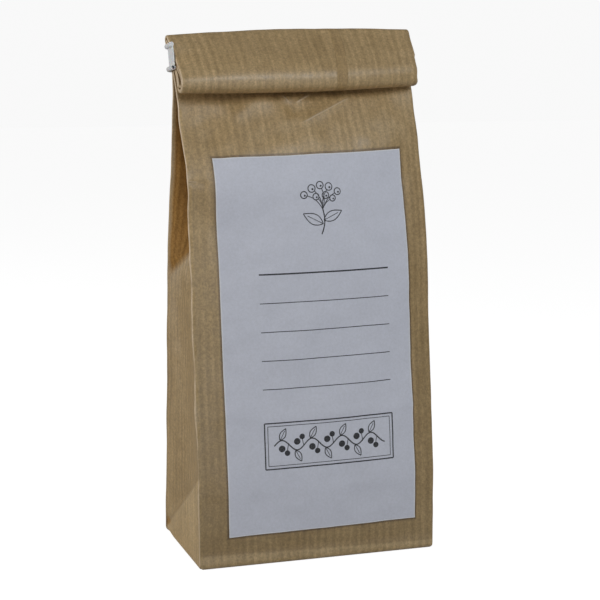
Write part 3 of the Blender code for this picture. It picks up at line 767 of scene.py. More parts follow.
def kraft_material(paper):
    """Ribbed brown kraft: ribs, fibres, flecks, cloudy tone, worn folds and crease lines made paler partly by
    wear and partly as painted highlights, a darker glued seam, painted sheen and top light making the panels
    lighter towards the top, painted highlights on the gussets' foot triangles and the panels' hems, painted
    shade in the gussets and a painted shadow round the label.
    """
    nodes = Nodes("kraft_paper")
    band, band_mm, times, mix = nodes.band, nodes.band_mm, nodes.times, nodes.mix
    on_sheet = nodes.add("ShaderNodeUVMap", uv_map="paper").outputs[0]
    round_sheet, up_sheet, _ = nodes.split(on_sheet)
    height = nodes.split(nodes.place)[2]
    clouds = nodes.noise(nodes.place, 45.0, 4.0, 0.6)
    blotches = nodes.noise(nodes.place, 330.0, 3.0, 0.7)
    specks = nodes.noise(nodes.place, 1550.0, 2.0, 0.75)
    fibres = nodes.noise(on_sheet, (2600.0, 620.0, 1.0), 3.0, 0.7)
    streaks = nodes.noise(on_sheet, (850.0, 30.0, 1.0), 1.0, 0.4)
    flecks = nodes.noise(on_sheet, (1500.0, 1100.0, 1.0), 1.0, 0.5)
    wander = times(band(nodes.noise(nodes.place, 90.0), 0.2, 0.8), 0.8)
    ribs = nodes.math("SINE", nodes.plus(times(round_sheet, 2 * math.pi / (RIB_SPACING * MM)), wander))
    ribs = band(ribs, -1.0, 1.0)
    base = mix(band(clouds, 0.3, 0.7), paper.dark_colour, paper.light_colour)
    for value, low, high, dark, light in (
        (blotches, 0.36, 0.66, (0.93, 0.92, 0.91), (1.06, 1.06, 1.07)),
        (specks, 0.36, 0.64, (0.83, 0.82, 0.79), (1.15, 1.15, 1.18)),
        (streaks, 0.36, 0.64, (0.91, 0.90, 0.88), (1.06, 1.06, 1.09)),
        (fibres, 0.34, 0.66, (0.90, 0.90, 0.88), (1.09, 1.09, 1.10)),
        (ribs, 0.1, 0.9, (0.92, 0.915, 0.90), (1.06, 1.06, 1.07)),
    ):
        base = nodes.toned(base, value, low, high, dark, light)
    base = mix(times(band(flecks, 0.68, 0.76), 0.4), base, (0.16, 0.10, 0.05))

    # Painted light: the panels lighter and bluer towards the top as painted sheen and overhead light, darker
    # towards the bottom; and painted highlights on the foot triangle of a gusset and the hem of a panel
    from_front, gusset = nodes.share_from_front(round_sheet)
    from_back, panel = nodes.minus(1.0, from_front), nodes.minus(1.0, gusset)
    # Painted sheen and overhead light: darker low on the panels, lighter and bluer high up
    rise = mix(band_mm(height, 15.0, 140.0), (0.87, 0.86, 0.84), (1.17, 1.18, 1.27))
    base = mix(panel, base, rise, "MULTIPLY")
    # Painted highlights: a gusset's foot triangle below its base crease and the hem along a panel's foot,
    # lighter where they lean up into the light
    under = nodes.minus(nodes.plus(times(from_back, BASE_CREASE_HEIGHT * MM), BASE_CREASE_FOOT * MM), height)
    foot = times(band_mm(under, -0.3, 0.5), gusset)
    painted_hem_light = times(band_mm(nodes.plus(height, times(round_sheet, PAINTED_HEM_SLOPE)), *PAINTED_HEM_BAND), panel)
    base = mix(nodes.math("MAXIMUM", foot, painted_hem_light), base, (1.30, 1.36, 1.52), "MULTIPLY")

    # Painted shade, brown, high in a gusset and in the hollow at its foot
    over = nodes.minus(height, nodes.plus(times(from_back, SHADE_CLIMB * MM), SHADE_HEIGHT * MM))
    painted_gusset_shade = times(band_mm(over, -0.4, 2.4), band(from_front, 0.995, 0.93))
    painted_gusset_shade = times(painted_gusset_shade, band_mm(height, *SHADE_TOP))
    low = nodes.add("ShaderNodeCombineXYZ", {
        0: nodes.math("DIVIDE", nodes.minus(height, TUCK_HEIGHT * MM), TUCK_SIZE[0] * MM),
        1: nodes.math("DIVIDE", nodes.minus(from_front, TUCK_FROM_FRONT), TUCK_SIZE[1]),
    }).outputs[0]
    low = times(band(nodes.vector("LENGTH", {0: low}), 1.3, 0.6), nodes.minus(1.0, foot))
    painted_gusset_shade = times(nodes.math("MAXIMUM", painted_gusset_shade, times(low, 0.65)), gusset)
    base = mix(painted_gusset_shade, base, (0.86, 0.67, 0.41), "MULTIPLY")

    # Worn folds and creases, pale partly from wear and partly as painted highlights; the glued seam; and a
    # painted shadow round the label
    worn_and_lit = nodes.add("ShaderNodeAttribute", attribute_name="wear").outputs["Fac"]
    scuffed_and_lit = times(band(worn_and_lit, 0.3, 0.95), band(blotches, 0.1, 0.5))
    base = mix(times(scuffed_and_lit, 0.85), base, paper.wear_and_highlight_colour)
    # Crease lines: scuffed pale, and painted highlights where the ridges would catch the light
    lines = 0.0
    for start, end, half_width in SCUFFED_AND_LIT_LINES:
        lines = nodes.math("MAXIMUM", lines, nodes.sharp_line(start, end, half_width))
    facing = times(band_mm(round_sheet, BAG_WIDTH + 1, BAG_WIDTH), band_mm(height, *LINES_TOP))
    lines = times(lines, facing)
    base = mix(times(lines, 0.9), base, paper.wear_and_highlight_colour)
    slant = nodes.math("MAXIMUM", nodes.minus(up_sheet, SEAM_SLANT_FROM * MM), 0.0)
    from_seam = nodes.minus(round_sheet, nodes.plus(times(slant, SEAM_SLANT), SEAM * MM))
    seam = band_mm(nodes.math("ABSOLUTE", from_seam), SEAM_HALF_WIDTH + 0.15, SEAM_HALF_WIDTH - 0.15)
    base = mix(times(seam, 0.7), base, (0.84, 0.80, 0.70), "MULTIPLY")
    # Painted shadow: a thin dark line just outside the label's edge
    base = mix(nodes.label_edge_shadow(on_sheet), base, (0.50, 0.47, 0.45), "MULTIPLY")

    relief = nodes.plus(nodes.plus(times(ribs, 0.5), times(fibres, 0.4)), times(specks, 0.5))
    normal = nodes.bump(relief, 0.00005, 0.6)
    normal = nodes.bump(seam, 0.00012, 1.0, normal)
    normal = nodes.bump(lines, 0.0002, 1.0, normal)
    gloss = mix(band(blotches, 0.3, 0.7), (0.40, 0.40, 0.40), (0.52, 0.52, 0.52))
    gloss = mix(nodes.math("MAXIMUM", seam, painted_gusset_shade), gloss, (0.75, 0.75, 0.75))
    shine = nodes.minus(1.0, times(painted_gusset_shade, 0.8))
    return nodes.finish(Base_Color=base, Roughness=gloss, Normal=normal, Specular_IOR_Level=shine)


def label_material(label):
    """Uncoated white label paper with faint fibres and a painted highlight along its cut edge."""
    nodes = Nodes("label_paper")
    specks = nodes.noise(nodes.place, 1300.0, 2.0, 0.7)
    fibres = nodes.noise(nodes.place, (2200.0, 2200.0, 1500.0), 3.0, 0.7)
    base = nodes.clouded(label.colour, 0.96, 160.0)
    base = nodes.toned(base, specks, 0.32, 0.68, (0.96, 0.96, 0.955), (1.03, 1.03, 1.035))
    base = nodes.toned(base, fibres, 0.35, 0.65, (0.985, 0.985, 0.985), (1.01, 1.01, 1.01))
    # Painted highlight: a pale line along the label's cut edge, where its thickness catches the light
    half_width, half_height = LABEL_WIDTH / 2 * MM, LABEL_HEIGHT / 2 * MM
    across, upward, _ = nodes.split(nodes.add("ShaderNodeUVMap", uv_map="paper").outputs[0])
    across = nodes.minus(nodes.math("ABSOLUTE", across), half_width)
    upward = nodes.minus(nodes.math("ABSOLUTE", nodes.minus(upward, half_height)), half_height)
    edge = nodes.band_mm(nodes.math("MAXIMUM", across, upward), -0.4, -0.1)
    base = nodes.mix(nodes.times(edge, 0.7), base, (0.97, 0.96, 0.95))
    return nodes.finish(Base_Color=base, Roughness=0.62, Normal=nodes.bump(fibres, 0.00002, 0.5))


def ink_material(label):
    """Dull black ink, a little broken by the paper's fibres."""
    nodes = Nodes("label_ink")
    grain = nodes.band(nodes.noise(nodes.place, 4200.0, 2.0, 0.6), 0.45, 0.8)
    base = nodes.mix(grain, label.ink_colour, [0.12 + channel for channel in label.ink_colour])
    return nodes.finish(Base_Color=base, Roughness=0.55)


def clip_material(clip):
    """White plastic, smooth, slightly soiled in soft clouds."""
    nodes = Nodes("clip_plastic")
    base = nodes.clouded(clip.colour, 0.93, 500.0)
    normal = nodes.bump(nodes.noise(nodes.place, 2600.0, 2.0, 0.5), 0.00001, 0.5)
    return nodes.finish(
        Base_Color=base, Roughness=0.36, Normal=normal, Subsurface_Weight=0.08, Subsurface_Scale=0.001,
    )


def wire_material(clip):
    """Drawn steel wire with faint lines."""
    nodes = Nodes("clip_steel")
    lines = nodes.noise(nodes.place, (120.0, 9000.0, 9000.0), 2.0, 0.6)
    base = nodes.mix(nodes.band(lines, 0.3, 0.7), (0.40, 0.40, 0.41), clip.wire_colour)
    return nodes.finish(Base_Color=base, Metallic=1.0, Roughness=0.34, Normal=nodes.bump(lines, 0.00001, 0.4))


def berry_material(contents):
    """Dried berries: wrinkled, near-black skins with dull purple bloom."""
    nodes = Nodes("berry_skin")
    bloom = nodes.band(nodes.noise(nodes.place, 380.0, 3.0, 0.6), 0.35, 0.7)
    wrinkle = nodes.noise(nodes.place, 1500.0, 4.0, 0.65)
    base = nodes.mix(bloom, contents.colour, contents.bloom_colour)
    return nodes.finish(Base_Color=base, Roughness=0.58, Normal=nodes.bump(wrinkle, 0.0004, 0.8))


def floor_material(studio):
    """A pale matt sheet, lit up evenly where the camera sees it, so that only the bag's soft shadow shows."""
    nodes = Nodes("studio_floor")
    base = nodes.clouded(studio.floor_colour, 0.99, 6.0, 2.0, 0.5)
    seen = nodes.add("ShaderNodeLightPath").outputs["Is Camera Ray"]
    glow = nodes.times(seen, studio.floor_glow)
    return nodes.finish(Base_Color=base, Roughness=0.9, Emission_Color=(1, 1, 1, 1), Emission_Strength=glow)


# The paper bag


def make_paper_bag(paper):
    sheet = shaped_sheet(paper.cockle / MM)
    foot = np.array(foot_rows(sheet.points[0], sheet.columns.part))
    below = travelled(foot[:, FOOT_LINE])
    up = np.concatenate((below - below[-1] - FOOT_STEP + sheet.lengths[0], sheet.lengths))
    around = np.append(sheet.columns.round_sheet, SHEET_ROUND)
    values = {"wear": np.concatenate((np.full(foot.shape[:2], 0.5), sheet.wear))}
    points = np.concatenate((foot, sheet.points))
    mesh = merged(grid_mesh("paper_bag_folded", points, (around, up), values, True))
    mesh.shade_smooth()
    mesh.set_sharp_from_angle(angle=math.radians(50))
    obj = add_paper("paper_bag_folded", mesh, kraft_material(paper), paper.thickness)
    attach(obj, "root")
    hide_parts("paper_bag")


# The label


def steps_along(line, values):
    """Where values lie along a rising line: whole steps, and the share of the next one."""
    steps = np.clip(np.interp(values, line, np.arange(len(line))), 0, len(line) - 1.001)
    whole = steps.astype(int)
    return whole, (steps - whole)[..., None]


class Surface(NamedTuple):
    """A grid of points by their places across and up, and the outward direction at each."""

    us: np.ndarray
    vs: np.ndarray
    points: np.ndarray
    normals: np.ndarray

    def on(self, u, v, out):
        """The points at u across and v up, moved out of the surface by out."""
        (j, tj), (k, tk) = steps_along(self.vs, v), steps_along(self.us, u)
        total = 0
        for grid, share in ((self.points, 1.0), (self.normals, np.asarray(out)[..., None])):
            low = grid[j, k] * (1 - tk) + grid[j, k + 1] * tk
            high = grid[j + 1, k] * (1 - tk) + grid[j + 1, k + 1] * tk
            total = total + share * (low * (1 - tj) + high * tj)
        return total


def label_lift(u, v):
    """How far the label stands off the paper: a little more at its corners."""
    side = np.abs(u) / (LABEL_WIDTH / 2)
    top = np.abs(2 * v / LABEL_HEIGHT - 1)
    return LABEL_GAP + LABEL_CORNER_LIFT * (side * top) ** 24


def make_label(label, cockle):
    sheet = shaped_sheet(cockle / MM)
    front = np.s_[:len(sheet.heights), :FRONT_COUNT]
    across = np.linspace(FOLD_RADIUS - REACH, REACH - FOLD_RADIUS, FRONT_COUNT)
    panel = Surface(across, sheet.heights, sheet.points[front], outward(sheet.points)[front])
    heights = np.arange(0.0, 122.5, 0.5)
    lengths = travelled(np.column_stack((heights, along(FRONT_EDGE, heights))))

    us, vs = np.linspace(-LABEL_WIDTH / 2, LABEL_WIDTH / 2, 48), np.linspace(0, LABEL_HEIGHT, 90)
    inside = (LABEL_EDGE_ROW, -LABEL_EDGE_ROW)
    us, vs = (np.sort(np.concatenate((line, line[[0, -1]] + inside))) for line in (us, vs))
    u, v = np.meshgrid(us, vs)
    x = LABEL_OFFSET + u * math.cos(LABEL_TURN) - v * math.sin(LABEL_TURN)
    up = LABEL_FOOT + v * math.cos(LABEL_TURN) + u * math.sin(LABEL_TURN)
    points = panel.on(x, np.interp(up, lengths, heights), label_lift(u, v) + label.thickness / MM)
    mesh = grid_mesh("label_sheet", points, (us, vs), {}, False)
    mesh.shade_smooth()
    obj = add_paper("label_sheet", mesh, label_material(label), label.thickness)
    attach(obj, "root")
    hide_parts("label")
    normal = np.cross(np.gradient(points, axis=1), np.gradient(points, axis=0))
    return Surface(us, vs, points, normal / np.linalg.norm(normal, axis=-1, keepdims=True))


def drawn_line(points, width, closed=False):
    """A flat pen line: its points left and right of the path, and its faces."""
    line = np.asarray(points, float)
    if closed:
        line = np.vstack((line, line[:1]))
        ahead = np.vstack((line[1:], line[1:2])) - np.vstack((line[-2:-1], line[:-1]))
        ahead[-1] = ahead[0] = line[1] - line[-2]
    else:
        ahead = np.gradient(line, axis=0)
    ahead /= np.linalg.norm(ahead, axis=1, keepdims=True)
    aside = np.column_stack((-ahead[:, 1], ahead[:, 0])) * width / 2
    count = len(line)
    faces = [(k + count, k + 1 + count, k + 1, k) for k in range(count - 1)]
    return np.vstack((line + aside, line - aside)), faces


def ring(centre, radius, sides):
    angle = np.linspace(0, 2 * math.pi, sides, endpoint=False)
    return np.column_stack((np.cos(angle), np.sin(angle))) * radius + centre


def drawn_disc(centre, radius, sides=18):
    return ring(centre, radius, sides), [tuple(range(sides))]


def straight(start, end, step=0.9):
    count = max(2, int(math.dist(start, end) / step) + 1)
    return np.linspace(start, end, count)


def leaf(start, direction, length, width):
    """A pointed leaf's outline and its middle rib."""
    t = np.linspace(0, 1, 15)
    ahead = np.array((math.cos(direction), math.sin(direction)))
    aside = np.array((-ahead[1], ahead[0]))
    spine = np.array(start) + t[:, None] * length * ahead
    swell = (width / 2 * np.sin(math.pi * t**0.85))[:, None] * aside
    return [drawn_line(spine + swell, 0.26), drawn_line(spine - swell, 0.26), drawn_line(spine[:12], 0.18)]


def berry_sprig(centre):
    """A small line drawing of a forked stem with two leaves and round berries."""
    x0, y0 = centre
    t = np.linspace(0, 1, 14)[:, None]
    foot, fork = np.array((x0 - 0.6, y0 - 7.5)), np.array((x0, y0 - 0.5))
    marks = [drawn_line(foot + (fork - foot) * t + np.array((0.7, 0)) * np.sin(math.pi * t), 0.34)]
    marks += leaf((x0 - 0.1, y0 - 4.6), math.radians(152), 6.4, 2.9)
    marks += leaf((x0 + 0.2, y0 - 3.6), math.radians(24), 6.0, 2.7)
    for x, y, radius in SPRIG_BERRIES:
        berry = np.array((x0 + x, y0 + y))
        reach = berry - fork
        side = np.array((-reach[1], reach[0])) * 0.12 * np.sign(x)
        stem = fork + reach * t + side * np.sin(math.pi * t)
        marks.append(drawn_line(stem[np.linalg.norm(stem - berry, axis=1) > radius], 0.22))
        marks.append(drawn_line(ring(berry, radius, 22), 0.28, True))
        marks.append(drawn_disc(berry + np.array((0.25, -0.2)) * radius, 0.3 * radius, 12))
    return marks


def berry_vine(left, right, level):
    """A printed border: a waving stem with a leaf and a berry in turn above and below."""
    marks, wave, height = [], 8.8, 1.5
    x = np.arange(left, right + 0.01, 0.4)
    waving = level + height * np.sin(2 * math.pi * (x - left) / wave)
    marks.append(drawn_line(np.column_stack((x, waving)), 0.34))
    for k in range(int(2 * (right - left) / wave)):
        sign = 1 if k % 2 == 0 else -1
        middle = left + wave * (k + 0.5) / 2
        stem = straight((middle + 1.9, level + sign * 0.6), (middle + 1.5, level - sign * 1.6))
        marks.append(drawn_disc((middle, level - sign * 0.9), 0.95))
        marks.append(drawn_disc((middle + 1.5, level - sign * 2.2), 0.8))
        marks.append(drawn_line(stem, 0.2))
        marks += leaf((middle - 0.5, level + sign * 1.6), sign * math.radians(62), 3.6, 1.7)
    return marks


def make_print(label, patch):
    """Generic print on the label: a berry sprig, writing lines and a bordered field."""
    marks = berry_sprig((2.0, 91.0))
    for level, width in LABEL_RULES:
        marks.append(drawn_line(straight((LABEL_FIELD[0], level), (LABEL_FIELD[1], level)), width))
    for inset, width in ((0.0, 0.36), (0.9, 0.18)):
        left, right, low, high = (edge + side * inset for edge, side in zip(LABEL_FIELD, (1, -1, 1, -1)))
        for start, end in (
            ((left, low), (right, low)), ((left, high), (right, high)), ((left, low), (left, high)),
            ((right, low), (right, high)),
        ):
            marks.append(drawn_line(straight(start, end), width))
    marks += berry_vine(LABEL_FIELD[0] + 2.6, LABEL_FIELD[1] - 2.6, (LABEL_FIELD[2] + LABEL_FIELD[3]) / 2)
    points, faces = [], []
    for flat, own in marks:
        faces += [tuple(corner + len(points) for corner in face) for face in own]
        points += patch.on(flat[:, 0], flat[:, 1], PRINT_GAP).tolist()
    mesh = bpy.data.meshes.new("label_print")
    mesh.from_pydata((np.array(points) * MM).tolist(), [], faces)
    obj = add_object("label_print", mesh, ink_material(label))
    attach(obj, "root")


# The clip


def clip_path(inset=0.0):
    """(x, distance behind the roll's middle line, direction) along the clip, from left to right."""
    back = STRIP_HALF + CLIP_GAP
    x, behind, turn = CLIP_LEFT, back - CLIP_BEND_RADIUS - CLIP_LEFT_LEG + inset, math.pi / 2
    path = [(x, behind, turn)]
    moves = (
        (CLIP_LEFT_LEG - inset, 0.0, 6),
        (0.0, -math.pi / 2, 10),
        (CLIP_LENGTH_BEHIND, 0.0, 40),
        (0.0, -CLIP_RIGHT_TURN, 6),
        (CLIP_RIGHT_LEG, 0.0, 2),
    )
    for length, bend, count in moves:
        step = length / count if length else abs(bend) / count * CLIP_BEND_RADIUS
        for _ in range(count):
            turn += bend / count / 2
            x += step * math.cos(turn)
            behind += step * math.sin(turn)
            turn += bend / count / 2
            path.append((x, behind, turn))
    return np.array(path)


def swept(path, out, up):
    """Points beside the clip's path: out on its outward side, up along the strip behind the roll."""
    across, behind, turn = path.T
    x, behind = across - out * np.sin(turn), behind + out * np.cos(turn)
    y0 = STRIP_START[0] + math.sin(STRIP_LEAN) * (CLIP_RISE + up)
    z0 = STRIP_START[1] + math.cos(STRIP_LEAN) * (CLIP_RISE + up)
    y, z = puffed(x, y0, z0)
    y, z = y + behind * math.cos(STRIP_LEAN), z - CLIP_SLOPE * behind * math.sin(STRIP_LEAN)
    return settled(np.stack((x, y, z), axis=-1))


TUBE_INPUTS = (
    ("Radius", "NodeSocketFloat"), ("Sides", "NodeSocketInt"), ("Caps", "NodeSocketBool"),
    ("Material", "NodeSocketMaterial"),
)
TUBE_NODES = {
    "given": "NodeGroupInput", "line": "GeometryNodeMeshToCurve",
    "profile": "GeometryNodeCurvePrimitiveCircle", "sweep": "GeometryNodeCurveToMesh",
    "smooth": "GeometryNodeSetShadeSmooth", "real": "GeometryNodeRealizeInstances",
    "paint": "GeometryNodeSetMaterial", "result": "NodeGroupOutput",
}
TUBE_LINKS = (
    ("given", "Path", "line", "Mesh"), ("given", "Radius", "profile", "Radius"),
    ("given", "Sides", "profile", "Resolution"), ("line", "Curve", "sweep", "Curve"),
    ("profile", "Curve", "sweep", "Profile Curve"), ("given", "Caps", "sweep", "Fill Caps"),
    ("sweep", "Mesh", "smooth", "Geometry"), ("smooth", "Geometry", "real", "Geometry"),
    ("real", "Geometry", "paint", "Geometry"), ("given", "Material", "paint", "Material"),
    ("paint", "Geometry", "result", "Tube"),
)


def tube_tree():
    """The node tree that sweeps a round tube along a line of edges, and its inputs' identifiers."""
    tree = bpy.data.node_groups.new("clip_tube", "GeometryNodeTree")
    tree.is_modifier = True
    tree.interface.new_socket("Path", in_out="INPUT", socket_type="NodeSocketGeometry")
    sockets = {
        name: tree.interface.new_socket(name, in_out="INPUT", socket_type=kind).identifier
        for name, kind in TUBE_INPUTS
    }
    tree.interface.new_socket("Tube", in_out="OUTPUT", socket_type="NodeSocketGeometry")
    nodes = {name: tree.nodes.new(kind) for name, kind in TUBE_NODES.items()}
    for source, gives, target, takes in TUBE_LINKS:
        tree.links.new(nodes[source].outputs[gives], nodes[target].inputs[takes])
    return tree, sockets


def modified(mesh, kind, settings, inputs=None):
    """The plain mesh that a modifier makes of a mesh, with these settings and node inputs."""
    holder = bpy.data.objects.new("holder", mesh)
    bpy.context.scene.collection.objects.link(holder)
    modifier = holder.modifiers.new("made", kind)
    for key, value in settings.items():
        setattr(modifier, key, value)
    for identifier, value in (inputs or {}).items():
        modifier[identifier] = value
    made = bpy.data.meshes.new_from_object(holder.evaluated_get(bpy.context.evaluated_depsgraph_get()))
    bpy.data.objects.remove(holder)
    return made


def swept_tube(tree, sockets, points, radius, sides, caps, made_of):
    """The plain mesh of a tube of this radius, in millimetres, along the points."""
    line = bpy.data.meshes.new("path")
    line.from_pydata((points * MM).tolist(), [(k, k + 1) for k in range(len(points) - 1)], [])
    values = {"Radius": radius * MM, "Sides": sides, "Caps": caps, "Material": made_of}
    inputs = {sockets[key]: value for key, value in values.items()}
    return modified(line, "NODES", {"node_group": tree}, inputs)


def thickened(mesh, thickness, offset):
    """The mesh as a closed wall of this thickness, in millimetres."""
    return modified(mesh, "SOLIDIFY", {"thickness": thickness * MM, "offset": offset})


def joined(name, meshes):
    edit = bmesh.new()
    for mesh in meshes:
        edit.from_mesh(mesh)
    bmesh.ops.recalc_face_normals(edit, faces=edit.faces)
    whole = bpy.data.meshes.new(name)
    edit.to_mesh(whole)
    edit.free()
    whole.shade_smooth()
    whole.set_sharp_from_angle(angle=math.radians(40))
    return whole


def make_clip(clip):
    plastic, steel = clip_material(clip), wire_material(clip)
    tree, sockets = tube_tree()
    path = clip_path()
    centre_up = CLIP_HEIGHT / 2 - BEAD_RADIUS
    walls = []
    for sign in (1, -1):
        line = swept(path, BEAD_RADIUS, sign * centre_up)
        bead = swept_tube(tree, sockets, line, BEAD_RADIUS, 20, sign > 0, plastic)
        walls.append(bead if sign > 0 else thickened(bead, BEAD_WALL, -1))
    ups = np.linspace(WEB_INSET - centre_up, centre_up - WEB_INSET, 9)
    web = np.stack([swept(path, WEB_OUT + WEB_FLARE * abs(up / centre_up) ** 6, up) for up in ups])
    web_mesh = grid_mesh("web", web, (path[:, 0], ups), {}, False)
    walls.append(thickened(web_mesh, WEB_THICKNESS, 0))
    strip = add_object("clip_strip_white", joined("clip_strip_white", walls), plastic)
    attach(strip, "root")
    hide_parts("clip_strip")
    for name, sign in (("clip_wire_upper", 1), ("clip_wire_lower", -1)):
        line = swept(clip_path(WIRE_RECESS), BEAD_RADIUS, sign * centre_up)
        mesh = joined(name + "_drawn", [swept_tube(tree, sockets, line, WIRE_RADIUS, 12, True, steel)])
        wire = add_object(name + "_drawn", mesh, steel)
        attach(wire, "root")
        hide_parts(name)


# The stage


CAMERA_AT = (-0.13829, -0.43087, 0.13956)
CAMERA_RIGHT = (0.9514, -0.308, -0.0013)
CAMERA_FORWARD = (0.3043, 0.9408, -0.149)
CAMERA_LENS = 94.8
FLOOR_REACH = 3.0

# Each light's name, place, aim, size and tint; its power is a setting of the same name
LIGHTS = (
    ("overhead", (0.0, -0.43, 0.37), (0, 0, 0.09), (0.34, 0.26), (1, 1, 1)),
    ("sheen", (0.17, -0.46, 0.42), (0, 0, 0.12), (0.3, 0.24), (0.84, 0.93, 1.0)),
    ("fill", (0.0, -0.6, 0.03), (0, 0, 0.12), (0.3, 0.2), (1, 1, 1)),
    ("window", (-0.68, 0.14, 0.26), (0, 0, 0.06), (0.45, 0.45), (1, 0.99, 0.97)),
)


def add_light(name, place, aim, size, tint, watts):
    data = bpy.data.lights.new(name, "AREA")
    data.shape = "RECTANGLE"
    data.size, data.size_y = size
    data.energy = watts
    data.color = tint
    light = bpy.data.objects.new(name, data)
    bpy.context.scene.collection.objects.link(light)
    light.location = place
    light.rotation_euler = (Vector(aim) - Vector(place)).to_track_quat("-Z", "Y").to_euler()


def add_camera():
    data = bpy.data.cameras.new("photo_view")
    data.lens = CAMERA_LENS
    data.sensor_width = 36
    data.clip_start = 0.01
    camera = bpy.data.objects.new("photo_view", data)
    bpy.context.scene.collection.objects.link(camera)
    right = Vector(CAMERA_RIGHT).normalized()
    forward = Vector(CAMERA_FORWARD)
    forward = (forward - forward.dot(right) * right).normalized()
    turn = Matrix((right, right.cross(forward), -forward)).transposed().to_4x4()
    camera.matrix_world = Matrix.Translation(Vector(CAMERA_AT)) @ turn
    bpy.context.scene.camera = camera


def studio_world(studio):
    """Even room light; what is seen behind the floor is as pale as the floor."""
    world = bpy.data.worlds.new("studio")
    world.use_nodes = True
    tree = world.node_tree
    room, seen = tree.nodes["Background"], tree.nodes.new("ShaderNodeBackground")
    pale = studio.floor_glow + studio.ambient * 0.995 * studio.floor_colour[0]
    for node, strength in ((room, studio.ambient), (seen, pale)):
        node.inputs["Color"].default_value = (1, 1, 1, 1)
        node.inputs["Strength"].default_value = strength
    ray, mix = tree.nodes.new("ShaderNodeLightPath"), tree.nodes.new("ShaderNodeMixShader")
    for socket, source in zip(mix.inputs, (ray.outputs["Is Camera Ray"], room.outputs[0], seen.outputs[0])):
        tree.links.new(source, socket)
    tree.links.new(mix.outputs[0], tree.nodes["World Output"].inputs["Surface"])
    return world


def make_stage(studio):
    floor = bpy.data.meshes.new("floor")
    corners = [(x * FLOOR_REACH, y * FLOOR_REACH, 0) for x, y in ((-1, -1), (1, -1), (1, 1), (-1, 1))]
    floor.from_pydata(corners, [], [(0, 1, 2, 3)])
    sweep = add_object("floor", floor, floor_material(studio))
    scene = bpy.context.scene
    scene.world = studio_world(studio)
    scene.view_settings.view_transform = "Standard"
    for name, place, aim, size, tint in LIGHTS:
        add_light(name, place, aim, size, tint, getattr(studio, name))
    add_camera()


# Settings and operators


COLOUR = {"subtype": "COLOR", "size": 3, "min": 0, "max": 1}
LENGTH = {"subtype": "DISTANCE", "unit": "LENGTH"}
POWER = {"subtype": "POWER", "unit": "POWER", "min": 0, "max": 100}


class BagPaperSettings(bpy.types.PropertyGroup):
    """The kraft paper and how it lies."""

    light_colour: bpy.props.FloatVectorProperty(
        name="Light kraft", description="Lighter tone of the paper", default=(0.46, 0.320, 0.142), **COLOUR)
    dark_colour: bpy.props.FloatVectorProperty(
        name="Dark kraft", description="Darker tone of the paper", default=(0.38, 0.253, 0.100), **COLOUR)
    # Tone of the worn folds, also used for the painted highlights along folds and crease lines
    wear_and_highlight_colour: bpy.props.FloatVectorProperty(
        name="Worn fold", description="Tone of the scuffed folds", default=(0.68, 0.52, 0.33), **COLOUR)
    thickness: bpy.props.FloatProperty(
        name="Thickness", description="Thickness of the paper", default=0.0002, min=0.00005,
        max=0.0004, **LENGTH)
    cockle: bpy.props.FloatProperty(
        name="Unevenness", description="How far the slack paper waves in and out", default=0.00022, min=0,
        max=0.001, **LENGTH)


class BagLabelSettings(bpy.types.PropertyGroup):
    """The label and its print."""

    colour: bpy.props.FloatVectorProperty(
        name="Label paper", description="Colour of the label", default=(0.71, 0.72, 0.80), **COLOUR)
    ink_colour: bpy.props.FloatVectorProperty(
        name="Ink", description="Colour of the print", default=(0.02, 0.02, 0.025), **COLOUR)
    thickness: bpy.props.FloatProperty(
        name="Thickness", description="Thickness of the label", default=0.0001, min=0.00005,
        max=0.0003, **LENGTH)


class BagClipSettings(bpy.types.PropertyGroup):
    """The wired clip."""

    colour: bpy.props.FloatVectorProperty(
        name="Plastic", description="Colour of the clip strip", default=(0.90, 0.90, 0.90), **COLOUR)
    wire_colour: bpy.props.FloatVectorProperty(
        name="Wire", description="Colour of the wires", default=(0.58, 0.59, 0.60), **COLOUR)


class BagContentsSettings(bpy.types.PropertyGroup):
    """The dried berries."""

    colour: bpy.props.FloatVectorProperty(
        name="Skin", description="Colour of the berries", default=(0.022, 0.012, 0.022), **COLOUR)
    bloom_colour: bpy.props.FloatVectorProperty(
        name="Bloom", description="Dull bloom on the berries", default=(0.07, 0.045, 0.075), **COLOUR)


class BagStudioSettings(bpy.types.PropertyGroup):
    """The floor and the lights."""

    floor_colour: bpy.props.FloatVectorProperty(
        name="Floor", description="Colour of the floor", default=(0.50, 0.50, 0.50), **COLOUR)
    ambient: bpy.props.FloatProperty(
        name="Room light", description="Strength of the light from all round", default=0.17, min=0, max=5)
    floor_glow: bpy.props.FloatProperty(
        name="Floor glow", description="How far the seen floor is lit up", default=0.86, min=0, max=2)
    overhead: bpy.props.FloatProperty(
        name="Overhead light", description="Power of the soft light overhead", default=0.44, **POWER)
    window: bpy.props.FloatProperty(
        name="Window light", description="Power of the soft light from the left", default=2.3, **POWER)
    sheen: bpy.props.FloatProperty(
        name="Sheen light", description="Power of the small light that the smooth paper mirrors", default=0.6,
        **POWER)
    fill: bpy.props.FloatProperty(
        name="Fill light", description="Power of the weak light low in front", default=0.36, **POWER)


class BAG_OT_fold_paper(bpy.types.Operator):
    """Fold the kraft paper bag with its gussets, block bottom and rolled top"""

    bl_idname = "bag.fold_paper"
    bl_label = "Fold Paper Bag"

    def execute(self, context):
        make_paper_bag(context.scene.bag_paper)
        return {"FINISHED"}


class BAG_OT_stick_label(bpy.types.Operator):
    """Stick the label on the front panel"""

    bl_idname = "bag.stick_label"
    bl_label = "Stick Label"

    def execute(self, context):
        label = context.scene.bag_label
        make_print(label, make_label(label, context.scene.bag_paper.cockle))
        return {"FINISHED"}


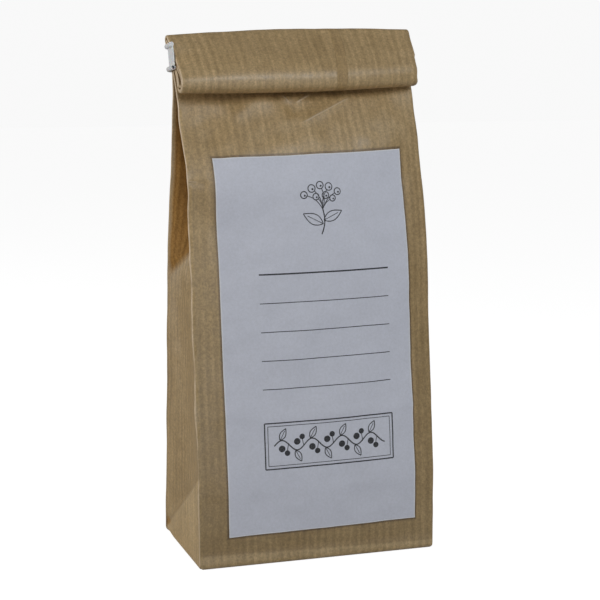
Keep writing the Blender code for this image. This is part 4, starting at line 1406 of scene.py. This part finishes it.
class BAG_OT_bend_clip(bpy.types.Operator):
    """Bend the clip strip and its two wires round the roll"""

    bl_idname = "bag.bend_clip"
    bl_label = "Bend Clip"

    def execute(self, context):
        make_clip(context.scene.bag_clip)
        return {"FINISHED"}


class BAG_OT_colour_berries(bpy.types.Operator):
    """Give the dried berries inside their skins"""

    bl_idname = "bag.colour_berries"
    bl_label = "Colour Berries"

    def execute(self, context):
        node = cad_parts["dried_berries"]
        node.data.materials.clear()
        node.data.materials.append(berry_material(context.scene.bag_contents))
        return {"FINISHED"}


class BAG_OT_set_stage(bpy.types.Operator):
    """Set up the pale floor, the soft lights and the camera"""

    bl_idname = "bag.set_stage"
    bl_label = "Set Stage"

    def execute(self, context):
        make_stage(context.scene.bag_studio)
        return {"FINISHED"}


class BAG_PT_panel(bpy.types.Panel):
    """Lists the bag's settings and the steps that make it"""

    bl_idname = "BAG_PT_panel"
    bl_label = "Paper Bag"
    bl_space_type = "VIEW_3D"
    bl_region_type = "UI"
    bl_category = "Paper Bag"

    def draw(self, context):
        for group, _, step in STEPS:
            box = self.layout.box()
            settings = getattr(context.scene, group)
            for key in settings.__annotations__:
                box.prop(settings, key)
            box.operator(step.bl_idname)


# Each step's name in the scene, its settings and its operator
STEPS = (
    ("bag_paper", BagPaperSettings, BAG_OT_fold_paper),
    ("bag_label", BagLabelSettings, BAG_OT_stick_label),
    ("bag_clip", BagClipSettings, BAG_OT_bend_clip),
    ("bag_contents", BagContentsSettings, BAG_OT_colour_berries),
    ("bag_studio", BagStudioSettings, BAG_OT_set_stage),
)
CLASSES = [settings for _, settings, _ in STEPS] + [step for _, _, step in STEPS] + [BAG_PT_panel]


def register():
    for cls in CLASSES:
        bpy.utils.register_class(cls)
    for name, settings, _ in STEPS:
        setattr(bpy.types.Scene, name, bpy.props.PointerProperty(type=settings))


def unregister():
    for name, _, _ in STEPS:
        delattr(bpy.types.Scene, name)
    for cls in reversed(CLASSES):
        bpy.utils.unregister_class(cls)


def main():
    register()
    bpy.ops.bag.fold_paper()
    bpy.ops.bag.stick_label()
    bpy.ops.bag.bend_clip()
    bpy.ops.bag.colour_berries()
    bpy.ops.bag.set_stage()


if __name__ == "__main__":
    main()
